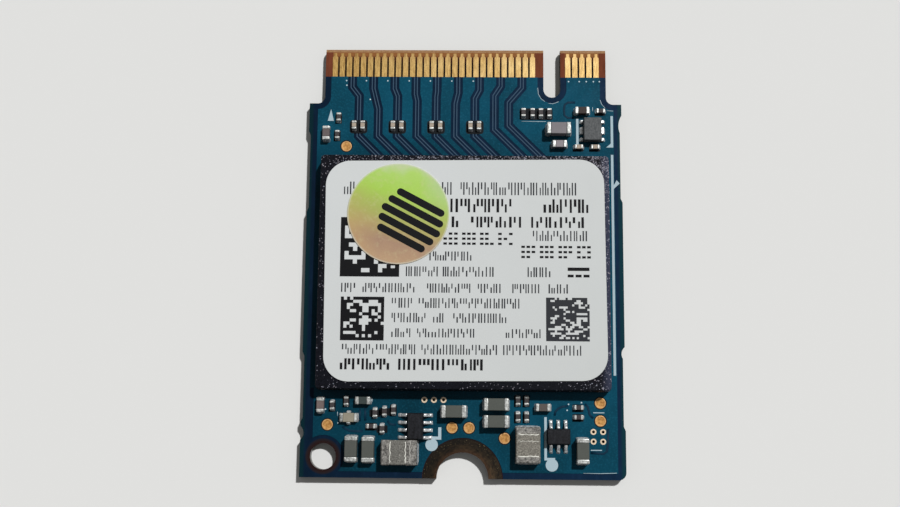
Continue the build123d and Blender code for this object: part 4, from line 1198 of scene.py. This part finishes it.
# Chequered squares: left, right, rear and front as shares of the label, cells to a side, and their mesh
CHEQUERS = [
    (0.055, 0.266, 0.463, 0.733, 14, bold_mesh),
    (0.061, 0.215, 0.177, 0.372, 14, bold_mesh),
    (0.787, 0.940, 0.180, 0.374, 20, fine_mesh),
]
for left, right, rear, front, count, mesh in CHEQUERS:
    corner = LABEL_CORNER + Vector((left * LABEL_SIZE.x, rear * LABEL_SIZE.y))
    step = Vector(((right - left) * LABEL_SIZE.x, (front - rear) * LABEL_SIZE.y)) / count
    add_chequers(mesh, corner, step, count, rng)
piece("label_marks_bold", bold_mesh, "ink", "label_print")
piece("label_marks_fine", fine_mesh, "ink", finish=FINE_INK)

# Rounded edges on the thin flat parts that stay as the CAD has them
for node in ("label", "round_seal"):
    weld = NODES[node].modifiers.new("weld", "WELD")
    weld.merge_threshold = 0.0005 * MM
    bevel = NODES[node].modifiers.new("bevel", "BEVEL")
    bevel.width = 0.015 * MM
    bevel.segments = 2
    bevel.limit_method = "ANGLE"

# Floor
floor_mesh = bmesh.new()
bmesh.ops.create_grid(floor_mesh, x_segments=1, y_segments=1, size=0.6)
floor_data = bpy.data.meshes.new("floor")
floor_mesh.to_mesh(floor_data)
floor_mesh.free()
floor = put("floor", floor_data)
floor.location.z = -0.01 * MM
floor_finish = Finish("pale_floor", specular=0.1)
floor_finish.roughness(0.9)
floor_finish.colour(srgb(226, 226, 224))
floor_data.materials.append(floor_finish.material)
floor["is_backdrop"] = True

# Camera at the photograph's viewing angle: the target is a point on the board's upper face
IMAGE_WIDTH = 900
FOCAL_PIXELS = 1145.168
AZIMUTH = math.radians(6.005)
ELEVATION = math.radians(81.026)
ROLL = math.radians(-5.536)
DISTANCE = 79.244 * MM
TARGET = Vector((-0.973, 0.300, 0.8)) * MM
camera_data = bpy.data.cameras.new("camera")
camera_data.lens = FOCAL_PIXELS / IMAGE_WIDTH * camera_data.sensor_width
camera_data.clip_start = MM
camera_data.clip_end = 10
camera = put("camera", camera_data)
turn = Matrix.Rotation(AZIMUTH, 4, "Z") @ Matrix.Rotation(math.pi / 2 - ELEVATION, 4, "X")
turn @= Matrix.Rotation(ROLL, 4, "Z")
camera.matrix_world = Matrix.Translation(TARGET) @ turn @ Matrix.Translation((0, 0, DISTANCE))
bpy.context.scene.camera = camera

# Light: one soft sun from the front right, and a pale surround that is brighter on that side
SUN_FROM = Vector((0.40, 0.52, 1)).normalized()
sun_data = bpy.data.lights.new("sun", "SUN")
sun_data.energy = 3.05
sun_data.angle = math.radians(3)
sun = put("sun", sun_data)
sun.rotation_euler = SUN_FROM.to_track_quat("Z", "Y").to_euler()

world = bpy.data.worlds.new("surround")
bpy.context.scene.world = world
world.use_nodes = True
surround = Nodes(world.node_tree)
background = surround.tree.nodes["Background"]
background.inputs["Color"].default_value = (1, 1, 1, 1)


def mapped(value, from_low, from_high, to_low, to_high):
    """A value of the surround, moved from one range to another."""
    return surround.new("MapRange", value, from_low, from_high, to_low, to_high).outputs["Result"]


rays = surround.new("LightPath").outputs
flat_sun = SUN_FROM.xy.normalized().to_3d()
towards = surround.new("VectorMath", surround.new("TexCoord").outputs["Generated"], flat_sun)
towards.operation = "DOT_PRODUCT"
sunward = towards.outputs["Value"]
reflected = surround.plus(mapped(sunward, -0.35, 0.15, 0.05, 0.34), mapped(sunward, 0.3, 0.9, 0, 1.3))
strength = mapped(rays["Is Glossy Ray"], 0, 1, 0.17, reflected)
shown = surround.math("MAXIMUM", rays["Is Camera Ray"], rays["Is Transmission Ray"])
strength = surround.math("MAXIMUM", strength, surround.times(shown, 0.9))
surround.feed(background.inputs["Strength"], strength)

bpy.context.scene.view_settings.view_transform = "Standard"

low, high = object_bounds()
